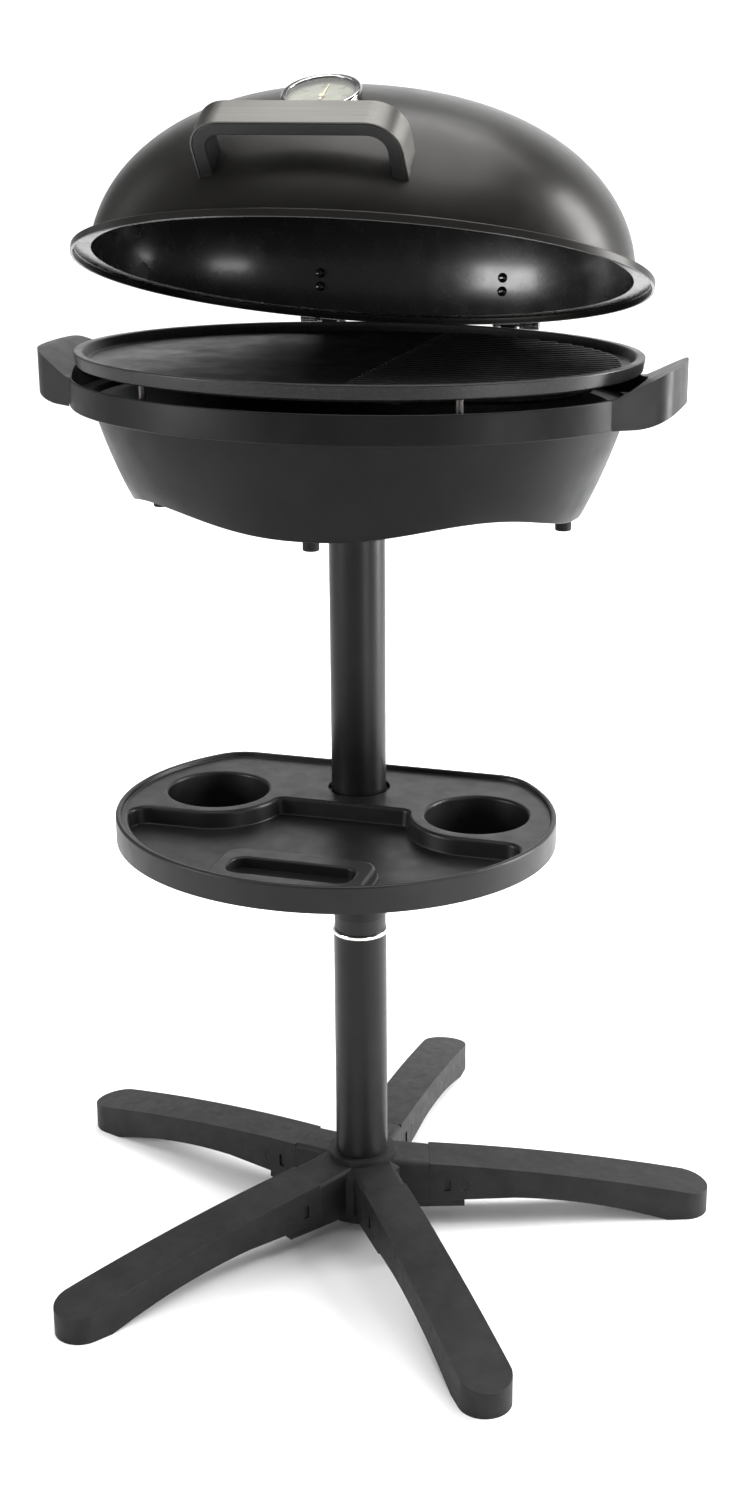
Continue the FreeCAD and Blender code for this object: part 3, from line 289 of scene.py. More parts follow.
def extruded(x, y, z):
    bpy.ops.mesh.extrude_region_move(TRANSFORM_OT_translate={"value": (x, y, z)})


def prism(name, outline, near, far, upright=False):
    """The outline drawn out into a block, upwards or towards the rear."""
    piece = drawn(name, outline, near, upright)
    opened_up(piece)
    reach = (far - near) * mm
    extruded(0, reach if upright else 0, 0 if upright else reach)
    bpy.ops.mesh.select_all(action="SELECT")
    bpy.ops.mesh.normals_make_consistent(inside=False)
    bare()
    return piece


def carved(piece, cutter, how="DIFFERENCE"):
    applied(piece, "BOOLEAN", operation=how, object=cutter, solver="EXACT")
    bpy.data.objects.remove(cutter, do_unlink=True)
    return piece


def welded(piece):
    """Closes the specks that cuts leave and splits large faces, so that each run gives the same mesh."""
    opened_up(piece)
    bpy.ops.mesh.remove_doubles(threshold=speck * mm)
    bpy.ops.mesh.dissolve_degenerate(threshold=speck * mm)
    bare()
    return applied(piece, "TRIANGULATE", min_vertices=5)


def edges_picked(piece, wanted):
    """Edit mode with only the wanted edges selected."""
    opened_up(piece)
    bpy.ops.mesh.select_mode(type="EDGE")
    bpy.ops.mesh.select_all(action="DESELECT")
    work = bmesh.from_edit_mesh(piece.data)
    for edge in work.edges:
        if wanted(edge):
            edge.select_set(True)
    bmesh.update_edit_mesh(piece.data)


def softened(piece, wanted, radius, segments):
    """Rounds only the wanted edges."""
    edges_picked(piece, wanted)
    bpy.ops.mesh.bevel(offset=radius * mm, segments=segments, affect="EDGES", clamp_overlap=True)
    bare()


def block(x0, x1, y0, y1, z0, z1):
    return prism("cutter", [(x0, y0), (x1, y0), (x1, y1), (x0, y1)], z0, z1)


def leg_plan(inset, start):
    """The leg seen from above: straight sides and a round toe."""
    root = leg_root_half - inset
    toe = leg_toe - inset
    end = bent((leg_reach, -toe), (leg_reach + toe, 0), (leg_reach, toe), 24)
    return [(start, -root)] + end + [(start, root)]


def leg_form():
    """The leg seen from the side, cut to its outline from above."""
    top = bent(*leg_tops, 26)
    under = bent(*leg_arch, 12)
    side = top + [(leg_tops[2][0], 0)] + under + [leg_heel]
    form = prism("leg", side, -leg_clear, leg_clear, upright=True)
    return carved(form, prism("plan", leg_plan(0, leg_root), -5, 90), "INTERSECT")


def leg_hollow():
    top = [(x, z - leg_wall) for x, z in bent(*leg_tops, 26)]
    side = top + [(top[-1][0], leg_sole), (leg_arch[0][0], leg_sole), (leg_arch[0][0], -20),
                  (leg_root - 10, -20), (leg_root - 10, top[0][1])]
    form = prism("hollow", side, -leg_clear, leg_clear, upright=True)
    return carved(form, prism("plan", leg_plan(leg_wall, leg_root - 8), -25, 90), "INTERSECT")


def latch_groove():
    """Half of a thin ring, for the round slit that frees the latch behind the window."""
    bare()
    bpy.ops.mesh.primitive_torus_add(major_radius=latch_radius * mm, minor_radius=latch_slit * mm,
                                     major_segments=28, minor_segments=8,
                                     location=(latch_x * mm, 0, latch_z * mm), rotation=(math.pi / 2, 0, 0))
    ring = bpy.context.object
    bpy.ops.object.transform_apply(location=True, rotation=True, scale=True)
    opened_up(ring)
    bpy.ops.mesh.bisect(plane_co=(latch_x * mm, 0, 0), plane_no=(1, 0, 0), clear_inner=True, use_fill=True)
    bare()
    return ring


def along_top(edge):
    """Edges where the leg's top face meets its sides."""
    if len(edge.link_faces) != 2 or max(v.co.x for v in edge.verts) < (leg_root + 0.2) * mm:
        return False
    tilts = sorted(abs(face.normal.z) for face in edge.link_faces)
    return tilts[0] < 0.3 and tilts[1] > 0.6 and min(v.co.z for v in edge.verts) > 12 * mm


leg = leg_form()
softened(leg, along_top, leg_edge, 6)
welded(carved(leg, leg_hollow()))
carved(leg, block(window[0], window[1], -leg_clear, leg_clear, window[2], window[3]))
for side in (-1, 1):
    groove = latch_groove()
    groove.data.transform(Matrix.Translation((0, side * (leg_root_half + 0.35) * mm, 0)))
    carved(leg, groove)
welded(leg)
for number, turn in enumerate(leg_turns, 1):
    copy = copied(leg, f"leg_{number}_moulding")
    copy.data.transform(Matrix.Rotation(math.radians(turn), 4, "Z"))
    settled(copy, base_black, "stand", "base_plastic", f"leg_{number}")
bpy.data.objects.remove(leg, do_unlink=True)

# Column
# Two steel tubes, powder coated in satin black, slid over a plastic sleeve.
# A bright turned ring sits on the lower tube's end, and the sleeve's neck shows above it.
tube_radius = 25
tube_wall = 1.5
lower_tube = (24, 306)
upper_tube = (324, 735)
ring = (306, 310, 26.25, 23.5)
neck = (310, 324, 24.25)
sleeve = (252, 382, 23.45, 20.45)
pole = 0.005


def turned(name, profile, steps):
    """A ring of points drawn out through each (radius, height) of a profile, as on a lathe."""
    bare()
    radius, level = profile[0]
    bpy.ops.mesh.primitive_circle_add(vertices=steps, radius=radius * mm, location=(0, 0, level * mm))
    piece = bpy.context.object
    piece.name = piece.data.name = name
    bpy.ops.object.transform_apply(location=True, rotation=True, scale=True)
    opened_up(piece)
    for (r0, z0), (r1, z1) in zip(profile, profile[1:]):
        extruded(0, 0, (z1 - z0) * mm)
        bpy.ops.transform.resize(value=(r1 / r0, r1 / r0, 1), center_override=(0, 0, z1 * mm))
    bpy.ops.mesh.select_all(action="SELECT")
    bpy.ops.mesh.remove_doubles(threshold=0.012 * mm)
    bpy.ops.mesh.normals_make_consistent(inside=False)
    bare()
    return piece


def loop(points):
    return points + points[:1]


def piped(name, outer, inner, low, high, steps=96):
    return turned(name, loop([(inner, low), (outer, low), (outer, high), (inner, high)]), steps)


tube_black, tree, shader, place = new_finish("tube_black", Specular_IOR_Level=0.2)
shades(tree, clouds(tree, place, 30, detail=4), [(0.3, 0.006), (0.7, 0.01)], shader.inputs["Base Color"])
shades(tree, clouds(tree, place, 120), [(0.3, 0.33), (0.7, 0.4)], shader.inputs["Roughness"])
relief(tree, clouds(tree, place, 800, detail=1), 0.3, 0.05, shader.inputs["Normal"])

for name, (low, high) in (("lower_tube", lower_tube), ("upper_tube", upper_tube)):
    tube = rounded(piped(f"{name}_steel", tube_radius, tube_radius - tube_wall, low, high), 0.5, 2)
    settled(tube, tube_black, "stand", "tube_paint", name)

ring_steel, tree, shader, place = new_finish("ring_steel", Metallic=1.0)
lathe = clouds(tree, stretched(tree, place, (6, 6, 2600)), 1, detail=2)
shades(tree, clouds(tree, place, 60), [(0.3, (0.66, 0.65, 0.62)), (0.7, (0.82, 0.81, 0.79))],
       shader.inputs["Base Color"])
shades(tree, lathe, [(0.3, 0.12), (0.7, 0.24)], shader.inputs["Roughness"])
relief(tree, lathe, 0.25, 0.02, shader.inputs["Normal"])
bright = rounded(piped("joint_ring_steel", ring[2], ring[3], ring[0], ring[1]), 1.1, 4)
settled(bright, ring_steel, "stand", "bright_ring", "joint_ring")

sleeve_black = moulded("sleeve_black", (0.007, 0.007, 0.007), (0.011, 0.011, 0.011), 60, 0.45, 1200, 0.04)
inside = turned("joint_sleeve_moulding",
                loop([(sleeve[3], sleeve[0]), (sleeve[2], sleeve[0]), (sleeve[2], neck[0]),
                      (neck[2], neck[0]), (neck[2], neck[1]), (sleeve[2], neck[1]), (sleeve[2], sleeve[1]),
                      (sleeve[3], sleeve[1])]), 96)
settled(rounded(inside, 0.3, 2), sleeve_black, "stand", "sleeve_plastic", "joint_sleeve")

# Shelf tray
# One thin-walled moulding in satin black plastic: a deck with a raised lip, two cup wells and a shallow dish.
# A raised frame round a pocket stands in the dish at the front, and a boss under the deck grips the column.
tray_half_width = 197
tray_half_depth = 178
tray_middle = -72
tray_rear = 56
tray_corner = 44
tray_bottom = 431
tray_deck = 451
tray_lip = 4
tray_round = 2.3
lip_foot = 1.2
tray_skin = 2.2
dish_land = 11
dish_rear = -47
dish_floor = 435
dish_edge = 3.4
dish_notch = 9
dish_end = 16
well_radius = 46
well_land = 14
well_taper = 4
well_depth = 52
well_edge = 3
well_foot = 4
well_places = ((-122, -42), (122, -42))
island_half = 68
island_rear = -158
island_front = -244
island_top = 445
island_corner = 18
slot_half = 55
slot_rear = -178
slot_front = -212
slot_corner = 12
slot_edge_round = 2.2
island_foot = 3
boss_height = 37
boss_wall = 4.4


def over(radius, count=5):
    """Steps (inward, upward) over a round edge, from level to falling."""
    turns = [math.pi / 2 * number / count for number in range(count + 1)]
    path = [(radius * math.sin(turn), radius * (math.cos(turn) - 1)) for turn in turns]
    return [(b[0] - a[0], b[1] - a[1]) for a, b in zip(path, path[1:])]


def into(radius, count=4):
    """Steps (inward, upward) into a round corner, from falling to level."""
    return [(-rise, -inward) for inward, rise in over(radius, count)]


def rising(radius, count=5):
    """Steps (inward, upward) round an outer edge, from a wall that rises to a level top."""
    return [(inward, -rise) for inward, rise in into(radius, count)]


def stepped(steps):
    """Insets the selected face again and again, each time by (inward, upward) in millimetres."""
    for inward, upward in steps:
        bpy.ops.mesh.inset(thickness=inward * mm, depth=upward * mm, use_even_offset=True)


def oval_corner(wide, deep, middle, radius, level, side):
    """Where a round corner of this radius touches an oval, and its centre, beside a line at a level."""
    low, high = -math.pi / 2, math.pi / 2
    wanted = level - side * radius
    for _ in range(60):
        turn = (low + high) / 2
        nx, ny = math.cos(turn) / wide, math.sin(turn) / deep
        length = math.hypot(nx, ny)
        centre = (wide * math.cos(turn) - radius * nx / length,
                  middle + deep * math.sin(turn) - radius * ny / length)
        if centre[1] < wanted:
            low = turn
        else:
            high = turn
    return turn, centre


def swept(centre, radius, first, last, count):
    turns = [first + (last - first) * number / count for number in range(count + 1)]
    return [(centre[0] + radius * math.cos(turn), centre[1] + radius * math.sin(turn)) for turn in turns]


def reflected(points):
    return [(-x, y) for x, y in reversed(points)]


def tray_outline(grow):
    """Half an oval in front, a straight rear and two round corners."""
    wide, deep, radius = tray_half_width + grow, tray_half_depth + grow, tray_corner + grow
    turn, centre = oval_corner(wide, deep, tray_middle, radius, tray_rear + grow, 1)
    start = math.atan2(tray_middle + deep * math.sin(turn) - centre[1], wide * math.cos(turn) - centre[0])
    corner = swept(centre, radius, start, math.pi / 2, 16)
    count = 96
    lowest = math.pi - turn
    front = [lowest + (math.tau + turn - lowest) * number / count for number in range(1, count)]
    oval = [(wide * math.cos(a), tray_middle + deep * math.sin(a)) for a in front]
    return corner + reflected(corner) + oval


def dish_outline(grow):
    """The dish's edge: along the rim in front, round both wells, straight behind."""
    wide, deep = tray_half_width - dish_land + grow, tray_half_depth - dish_land + grow
    x, y = well_places[1]
    land = well_radius + well_land - grow
    rear = dish_rear + grow
    notch = dish_notch + grow
    end = dish_end + grow
    reach = math.sqrt((land + notch) ** 2 - (rear - notch - y) ** 2)
    centre = (x - reach, rear - notch)
    touch = math.atan2(y - centre[1], reach)
    first = swept(centre, notch, math.pi / 2, touch, 8)
    round_well = swept((x, y), land, math.pi + touch, 1.5 * math.pi, 26)[1:]
    turn, middle = oval_corner(wide, deep, tray_middle, end, y - land, 1)
    meet = math.atan2(tray_middle + deep * math.sin(turn) - middle[1], wide * math.cos(turn) - middle[0])
    last = swept(middle, end, math.pi / 2, meet, 12)
    right = first + round_well + last
    count = 80
    sweep = -math.pi - 2 * turn
    front = [turn + sweep * number / count for number in range(1, count)]
    oval = [(wide * math.cos(a), tray_middle + deep * math.sin(a)) for a in front]
    return right + oval + reflected(right)


def faces_dropped(piece, wanted):
    """Deletes the faces that are wanted gone and keeps their edges."""
    opened_up(piece)
    bpy.ops.mesh.select_mode(type="FACE")
    bpy.ops.mesh.select_all(action="DESELECT")
    work = bmesh.from_edit_mesh(piece.data)
    for face in work.faces:
        if wanted(face):
            face.select_set(True)
    bmesh.update_edit_mesh(piece.data)
    bpy.ops.mesh.delete(type="ONLY_FACE")
    bare()


def ringed(radius, x=0, y=0, count=72):
    return swept((x, y), radius, 0, math.tau * (count - 1) / count, count - 1)


def joined(pieces):
    bare()
    for piece in pieces:
        piece.select_set(True)
    bpy.context.view_layer.objects.active = pieces[0]
    bpy.ops.object.join()
    return pieces[0]


def tray_rim():
    """The outer wall and the round lip, down to the deck's edge."""
    rim = drawn("shelf_tray_moulding", tray_outline(0), tray_bottom)
    opened_up(rim)
    extruded(0, 0, (tray_deck + tray_lip - tray_round - tray_bottom) * mm)
    lip_wall = tray_lip - tray_round - lip_foot
    stepped(rising(tray_round) + [(0.4, 0)] + over(tray_round) + [(0.1, -lip_wall)] + into(lip_foot, 3))
    bpy.ops.mesh.delete(type="ONLY_FACE")
    faces_dropped(rim, lambda face: len(face.verts) > 8)
    return rim


def sunk(name, outline, edge, wall, foot, depth):
    """A hollow that falls from the deck: a round edge, a wall with a little draft and a floor."""
    piece = drawn(name, outline, tray_deck)
    opened_up(piece)
    stepped(over(edge) + [(wall, -(depth - edge - foot))] + into(foot))
    bare()
    return piece


tray = tray_rim()
hollows = [sunk("dish", dish_outline(dish_edge), dish_edge, 1.4, 1.6, tray_deck - dish_floor)]
for place in well_places:
    mouth = ringed(well_radius + well_edge, *place)
    hollows.append(sunk("well", mouth, well_edge, well_taper, well_foot, well_depth))
boss = drawn("boss", ringed(tube_radius + boss_wall), tray_deck)
opened_up(boss)
stepped(over(1.4) + [(0.05, -3.2), (2.7, -0.3), (0.02, 4.9 - boss_height)])
bpy.ops.mesh.delete(type="ONLY_FACE")
bare()
hollows.append(boss)
tray = joined([tray] + hollows)
edges_picked(tray, lambda edge: edge.is_boundary and min(v.co.z for v in edge.verts) > (tray_deck - 0.2) * mm)
bpy.ops.mesh.fill(use_beauty=True)
bpy.ops.mesh.select_all(action="SELECT")
bpy.ops.mesh.remove_doubles(threshold=0.01 * mm)
bpy.ops.mesh.normals_make_consistent(inside=False)
bare()
highest = max(tray.data.polygons, key=lambda face: face.area)
if highest.normal.z < 0:
    opened_up(tray)
    bpy.ops.mesh.flip_normals()
    bare()
applied(tray, "SOLIDIFY", thickness=tray_skin * mm, offset=-1, use_even_offset=True, use_rim=True)


def eased(corners, count=6):
    """A closed outline whose corners (x, y, radius) are rounded."""
    points = []
    for number, (x, y, radius) in enumerate(corners):
        if not radius:
            points.append((x, y))
            continue
        corner = Vector((x, y))
        back = (Vector(corners[number - 1][:2]) - corner).normalized()
        ahead = (Vector(corners[(number + 1) % len(corners)][:2]) - corner).normalized()
        half = back.angle(ahead) / 2
        centre = corner + (back + ahead).normalized() * radius / math.sin(half)
        start = corner + back * radius / math.tan(half) - centre
        end = corner + ahead * radius / math.tan(half) - centre
        first = math.atan2(start.y, start.x)
        sweep = (math.atan2(end.y, end.x) - first + math.pi) % math.tau - math.pi
        points += swept(centre, radius, first, first + sweep, count)
    return points


foot_half, foot_rear, foot_corner = [size + island_foot for size in (island_half, island_rear, island_corner)]
foot_shape = eased([(-foot_half, island_front, 0), (foot_half, island_front, 0),
                    (foot_half, foot_rear, foot_corner), (-foot_half, foot_rear, foot_corner)], 10)
island = drawn("island", foot_shape, dish_floor - 1)
opened_up(island)
extruded(0, 0, 1.05 * mm)
stepped([(-rise, inward) for inward, rise in over(2.2, 4)])
stepped([(0.8, island_top - dish_floor - 5.45)] + rising(3.2))
bare()
carved(island, prism("rim_room", tray_outline(-1.2), tray_bottom - 20, tray_deck + 20), "INTERSECT")
carved(tray, island, "UNION")
slot_shape = eased([(-slot_half, slot_front, slot_corner), (slot_half, slot_front, slot_corner),
                    (slot_half, slot_rear, slot_corner), (-slot_half, slot_rear, slot_corner)], 8)
carved(tray, prism("slot", slot_shape, dish_floor, island_top + 20))


def slot_edge(edge):
    """The pocket's edge in the raised frame's top."""
    return all(abs(v.co.z - island_top * mm) < 0.1 * mm and abs(v.co.x) < (slot_half + 0.2) * mm
               and (slot_front - 0.2) * mm < v.co.y < (slot_rear + 0.2) * mm for v in edge.verts) \
        and any(abs(face.normal.z) < 0.3 for face in edge.link_faces)


softened(tray, slot_edge, slot_edge_round, 4)
tray_black = moulded("tray_black", (0.007, 0.007, 0.0073), (0.011, 0.011, 0.0115), 18, 0.38, 1500, 0.035,
                     0.24)
settled(tray, tray_black, "stand", "tray_plastic", "shelf_tray", angle=40)


def plain_finish(name, tone, gloss=None, **sockets):
    """A finish with clouds in its tone and in its gloss, each a scale, a low and high value and a detail."""
    finish, tree, shader, place = new_finish(name, **sockets)
    for pattern, socket in ((tone, "Base Color"), (gloss, "Roughness")):
        if pattern:
            scale, low, high, *detail = pattern
            cloud = clouds(tree, place, scale, *detail)
            shades(tree, cloud, [(0.3, low), (0.7, high)], shader.inputs[socket])
    return finish


screw_steel = plain_finish("screw_steel", (300, 0.05, 0.11), (900, 0.22, 0.36),
                           Metallic=1.0)
as_solid("tray_screw", "tray_clamp_screw", screw_steel, "stand", "screw_steel", 0.8)

# Bowl
# The grill's body, moulded in satin black plastic: a proud band over a tapered skirt with four wide arches.
# Its floor is screwed to the socket on the column, and the ledge inside the band carries the plate's posts.
depth_share = 380.6 / 498
band = (251.5, 254.5, 802, 827)
ledge = 805
body_half = (198.5, 234)
skirt = (714.5, 802)
body_bulge = 2.5
bowl_wall = 3
bowl_floor = (741, 744)
arch_height = 15.5
arch_share = 0.94
hinge_x = 88
hinge_half = 13.5
grip_half = 72
inlet_half = 32.3
inlet_room = (145, 300)
grip_room = (100, 300)
gap_top = 835
pad_outer = 176.8
foot_posts = ((185, 0), (0, 128), (-185, 0), (0, -128))
foot_post_radius = 4.5
foot_post_low = 707.5


def body_line(inset, low, high, count):
    """The skirt's slightly bulged side, from a low level to a high one."""
    middle = ((body_half[0] + body_half[1]) / 2 + body_bulge, (skirt[0] + skirt[1]) / 2)
    whole = bent((body_half[0], skirt[0]), middle, (body_half[1], skirt[1]), 60)
    line = []
    for number in range(count + 1):
        level = low + (high - low) * number / count
        for (r0, z0), (r1, z1) in zip(whole, whole[1:]):
            if z1 >= level or (r1, z1) == whole[-1]:
                line.append((r0 + (r1 - r0) * (level - z0) / (z1 - z0) - inset, level))
                break
    return line


def arch_rise(x, y):
    """How far the skirt's edge lifts over an arch between two feet."""
    turn = math.atan2(y / depth_share, x)
    corner = Vector((body_half[0], body_half[0] * depth_share))
    half = corner.length * arch_share / 2
    lean = math.atan2(corner.y, corner.x)
    across = abs(math.sin(turn)) * corner.y * math.cos(lean) - abs(math.cos(turn)) * corner.x * math.sin(lean)
    if abs(across) >= half:
        return 0
    return arch_height * (1 + math.cos(math.pi * across / half)) / 2


def made_oval(piece):
    opened_up(piece)
    bpy.ops.transform.resize(value=(1, depth_share, 1), center_override=(0, 0, 0))
    bare()
    return piece


inner = body_line(bowl_wall, bowl_floor[1], ledge, 8)
outer = body_line(0, skirt[0], skirt[1], 12)
under = body_line(bowl_wall, skirt[0], bowl_floor[0], 6)
rim = [(inner[-1][0], ledge), (band[0], ledge), (band[0], band[3]), (band[1], band[3]), (band[1], band[2])]
bowl = turned("bowl_moulding", [(pole, bowl_floor[1])] + inner[:-1] + rim + outer[::-1] + under
              + [(pole, bowl_floor[0])], 224)
rounded(bowl, 1.3, 3, angle=32)
made_oval(bowl)
slope = (body_half[1] - body_half[0]) / (skirt[1] - skirt[0])
for vertex in bowl.data.vertices:
    x, y, z = vertex.co / mm
    if z < bowl_floor[0] - 0.5:
        lift = arch_rise(x, y) * (bowl_floor[0] - z) / (bowl_floor[0] - skirt[0])
        spread = 1 + slope * lift / math.hypot(x, y / depth_share)
        vertex.co = Vector((x * spread, y * spread, z + lift)) * mm
for side in (-1, 1):
    near, far = sorted(side * x for x in grip_room)
    carved(bowl, block(near, far, -grip_half, grip_half, ledge, gap_top))
carved(bowl, block(-inlet_half, inlet_half, *inlet_room, ledge, gap_top))
pad_face = band[1] * depth_share * math.sqrt(1 - ((hinge_x - hinge_half) / band[1]) ** 2) + 0.3
for side in (-1, 1):
    pad = [(side * (hinge_x - hinge_half), pad_face - 1.6), (side * (hinge_x + hinge_half), pad_outer),
           (side * (hinge_x + hinge_half), pad_face), (side * (hinge_x - hinge_half), pad_face)]
    carved(bowl, prism("pad", pad, band[2] + 1.2, band[3] - 1.2), "UNION")
posts = [prism("post", ringed(foot_post_radius, x, y, 24), foot_post_low, bowl_floor[0] + 1)
         for x, y in foot_posts]
bowl = joined([bowl] + posts)
bowl_black = moulded("bowl_black", (0.0033, 0.0034, 0.0037), (0.0062, 0.0063, 0.0068), 14, 0.4, 1400, 0.04,
                     0.13)
settled(bowl, bowl_black, "stand", "bowl_plastic", "bowl")

foot_rubber = moulded("foot_rubber", (0.006, 0.006, 0.006), (0.011, 0.011, 0.011), 90, 0.7, 900, 0.08, 0.2)
as_solid("bowl_feet", "bowl_feet_rubber", foot_rubber, "stand", "foot_rubber", 1.4)
as_solid("bowl_socket", "bowl_socket_moulding", sleeve_black, "stand", "sleeve_plastic", 1.0)
for node in ("socket_screws", "side_handle_screws", "bracket_screws"):
    as_solid(node, f"{node}_steel", screw_steel, "stand", "screw_steel", 0.7)

# Side handles
# Two black plastic grips that drop into gaps in the band and are screwed up from below.
# Each runs on from the band, ramps up clear of the plate and is hollow underneath for the fingers.
grip_root = 71.7
grip_end = 48
grip_reach = 279
grip_bulge = 5
grip_corner = 28
grip_top = ((124.5, 827), (240, 827), (280, 848), (290, 848))
grip_ramp_round = 20
grip_under = ((290, 819), (273, 806.5), (254.5, 802))
grip_wall = 3.5
grip_edge = 1.6
grip_tab = (236.5, 253, 805.05, 811.05)
grip_low = 780
grip_high = 880
grip_clear = 90


def mirrored(piece, name):
    """The same piece for the other side."""
    copy = copied(piece, name)
    copy.data.transform(Matrix.Scale(-1, 4, (1, 0, 0)))
    copy.data.flip_normals()
    return copy


def oval_ring(radius):
    return [(x, y * depth_share) for x, y in ringed(radius, count=256)]


def grip_plan(inset):
    root_x = band[1] * math.sqrt(1 - (grip_half / band[1] / depth_share) ** 2) - inset
    reach = grip_reach - inset
    end = grip_end - inset
    root = grip_root - inset
    bow = bent((reach, -end), (reach + grip_bulge, 0), (reach, end), 14)
    ends = [(100, -root, 0), (root_x, -root, 0), (*bow[0], grip_corner - inset)]
    ends += [(x, y, 0) for x, y in bow[3:-3]]
    ends += [(*bow[-1], grip_corner - inset), (root_x, root, 0), (100, root, 0)]
    return eased(ends, 8)


def grip_side(drop):
    first, low, high, tip = [(x, z - drop) for x, z in grip_top]
    return eased([(*first, 0), (*low, grip_ramp_round + drop), (*high, grip_ramp_round - drop), (*tip, 0)], 8)


def side_grip():
    side = grip_side(0) + bent(*grip_under, 12) + [(124.5, 802)]
    body = prism("grip", side, -grip_clear, grip_clear, upright=True)
    carved(body, prism("plan", grip_plan(0), grip_low, grip_high), "INTERSECT")
    carved(body, prism("plate_room", oval_ring(band[0]), grip_low, grip_high))
    rounded(body, grip_edge, 4, angle=40)
    carved(body, prism("band_room", oval_ring(band[1] + 0.3), grip_low, ledge + 0.1))
    below = [(grip_top[3][0], grip_low), (grip_top[0][0], grip_low)]
    hollow = prism("hollow", grip_side(grip_wall) + below, -grip_clear, grip_clear, upright=True)
    carved(hollow, prism("plan", grip_plan(grip_wall), grip_low - 10, grip_high), "INTERSECT")
    carved(hollow, prism("wall", oval_ring(band[1] + grip_wall), grip_low - 20, grip_high + 10))
    carved(body, hollow)
    tab = prism("tab", oval_ring(grip_tab[1]), grip_tab[2], grip_tab[3])
    carved(tab, prism("tab_room", oval_ring(grip_tab[0]), grip_low + 10, grip_low + 50))
    tab_half = grip_root - 0.4
    carved(tab, block(150, 300, -tab_half, tab_half, grip_low + 10, grip_low + 50), "INTERSECT")
    return carved(body, tab, "UNION")


grip_black = moulded("grip_black", (0.007, 0.007, 0.0073), (0.0115, 0.0115, 0.012), 22, 0.42, 1400, 0.04,
                     0.22)
right = side_grip()
right.name = right.data.name = "right_handle_moulding"
left = mirrored(right, "left_handle_moulding")
settled(right, grip_black, "stand", "handle_plastic", "right_handle")
settled(left, grip_black, "stand", "handle_plastic", "left_handle")

# Grill plate
# A cast aluminium plate with a non-stick coating, flat on the left and ribbed on the right.
# It stands on four posts over the heating element and lifts off for washing.
plate_half = 249
plate_rim = 849
plate_low = 837
plate_draft = 2
rim_width = 7.5
inner_draft = 4
plate_floor = 840.5
plate_under = 834.5
rib_pitch = 11
rib_width = 4.5
rib_height = 3
rib_start = 33
rib_end_gap = 9
rib_tip = 20
rib_rows = 15
drain = (46, 22, 7)

floor_half = plate_half - rim_width - inner_draft
outer_low = plate_half - plate_draft
plate = turned("grill_plate_casting", [(pole, plate_floor), (60, plate_floor), (150, plate_floor),
               (floor_half, plate_floor), (plate_half - rim_width, plate_rim), (plate_half, plate_rim),
               (outer_low, plate_low), (outer_low - rim_width, plate_low), (floor_half, plate_under),
               (pole, plate_under)], 224)
rounded(plate, 1.5, 4, angle=25)
made_oval(plate)
carved(plate, prism("drain", ringed(drain[2], drain[0], drain[1], 40), plate_under - 5, plate_rim))


def one_rib():
    """A bar with a rounded back and ends, longer than it is wide, sunk a little into the floor."""
    bare()
    bpy.ops.mesh.primitive_cube_add(size=1)
    bar = bpy.context.object
    bar.data.transform(Matrix.Diagonal((2 * rib_tip * mm, rib_width * mm, (rib_height + 1) * mm, 1)))
    softened(bar, lambda edge: abs(edge.verts[0].co.z - edge.verts[1].co.z) > mm, 2, 4)
    softened(bar, lambda edge: min(v.co.z for v in edge.verts) > rib_height / 3 * mm, 1.1, 3)
    return bar


rib = one_rib()
ribs = []
zone = floor_half - rib_end_gap
for row in range(-rib_rows, rib_rows + 1):
    y = row * rib_pitch
    end = zone * math.sqrt(1 - (y / zone / depth_share) ** 2)
    if end < rib_start + 25:
        continue
    bar = copied(rib, "rib")
    for vertex in bar.data.vertices:
        vertex.co.x += (end - rib_tip if vertex.co.x > 0 else rib_start + rib_tip) * mm
        vertex.co.y += y * mm
        vertex.co.z += (plate_floor + (rib_height - 1) / 2) * mm
    ribs.append(bar)
bpy.data.objects.remove(rib, do_unlink=True)
plate = joined([plate] + ribs)


def between(tree, value, low, high):
    """How far a value has gone from a low to a high mark, in millimetres, from 0 to 1."""
    node = tree.nodes.new("ShaderNodeMapRange")
    node.inputs["From Min"].default_value = low * mm
    node.inputs["From Max"].default_value = high * mm
    tree.links.new(value, node.inputs["Value"])
    return node.outputs["Result"]


plate_black, tree, shader, place = new_finish("plate_black", Specular_IOR_Level=0.32)
split = tree.nodes.new("ShaderNodeSeparateXYZ")
tree.links.new(place, split.inputs["Vector"])
reach = worked(tree, "ShaderNodeVectorMath", "LENGTH", stretched(tree, place, (1, 1 / depth_share, 0)))
# The rim's top and the top of its inner wall are painted a lighter grey: a painted sheen where grazing light
# falls.
painted_rim_sheen = worked(tree, "ShaderNodeMath", "MULTIPLY",
                 between(tree, split.outputs["Z"], plate_floor + rib_height + 0.8, plate_rim - 0.6),
                 between(tree, reach, plate_half - 0.4, plate_half - 2))
speck = clouds(tree, stretched(tree, place, (1, 1, 1.8)), 420, detail=4, rough=0.7)
mixed(tree, painted_rim_sheen, (speck, [(0.4, 0.004), (0.6, 0.011), (0.74, 0.036)]),
      (speck, [(0.3, 0.03), (0.7, 0.06)]), shader.inputs["Base Color"])
shades(tree, clouds(tree, place, 35), [(0.3, 0.32), (0.7, 0.44)], shader.inputs["Roughness"])
relief(tree, speck, 0.55, 0.16, shader.inputs["Normal"])
settled(plate, plate_black, "stand", "plate_coating", "grill_plate")

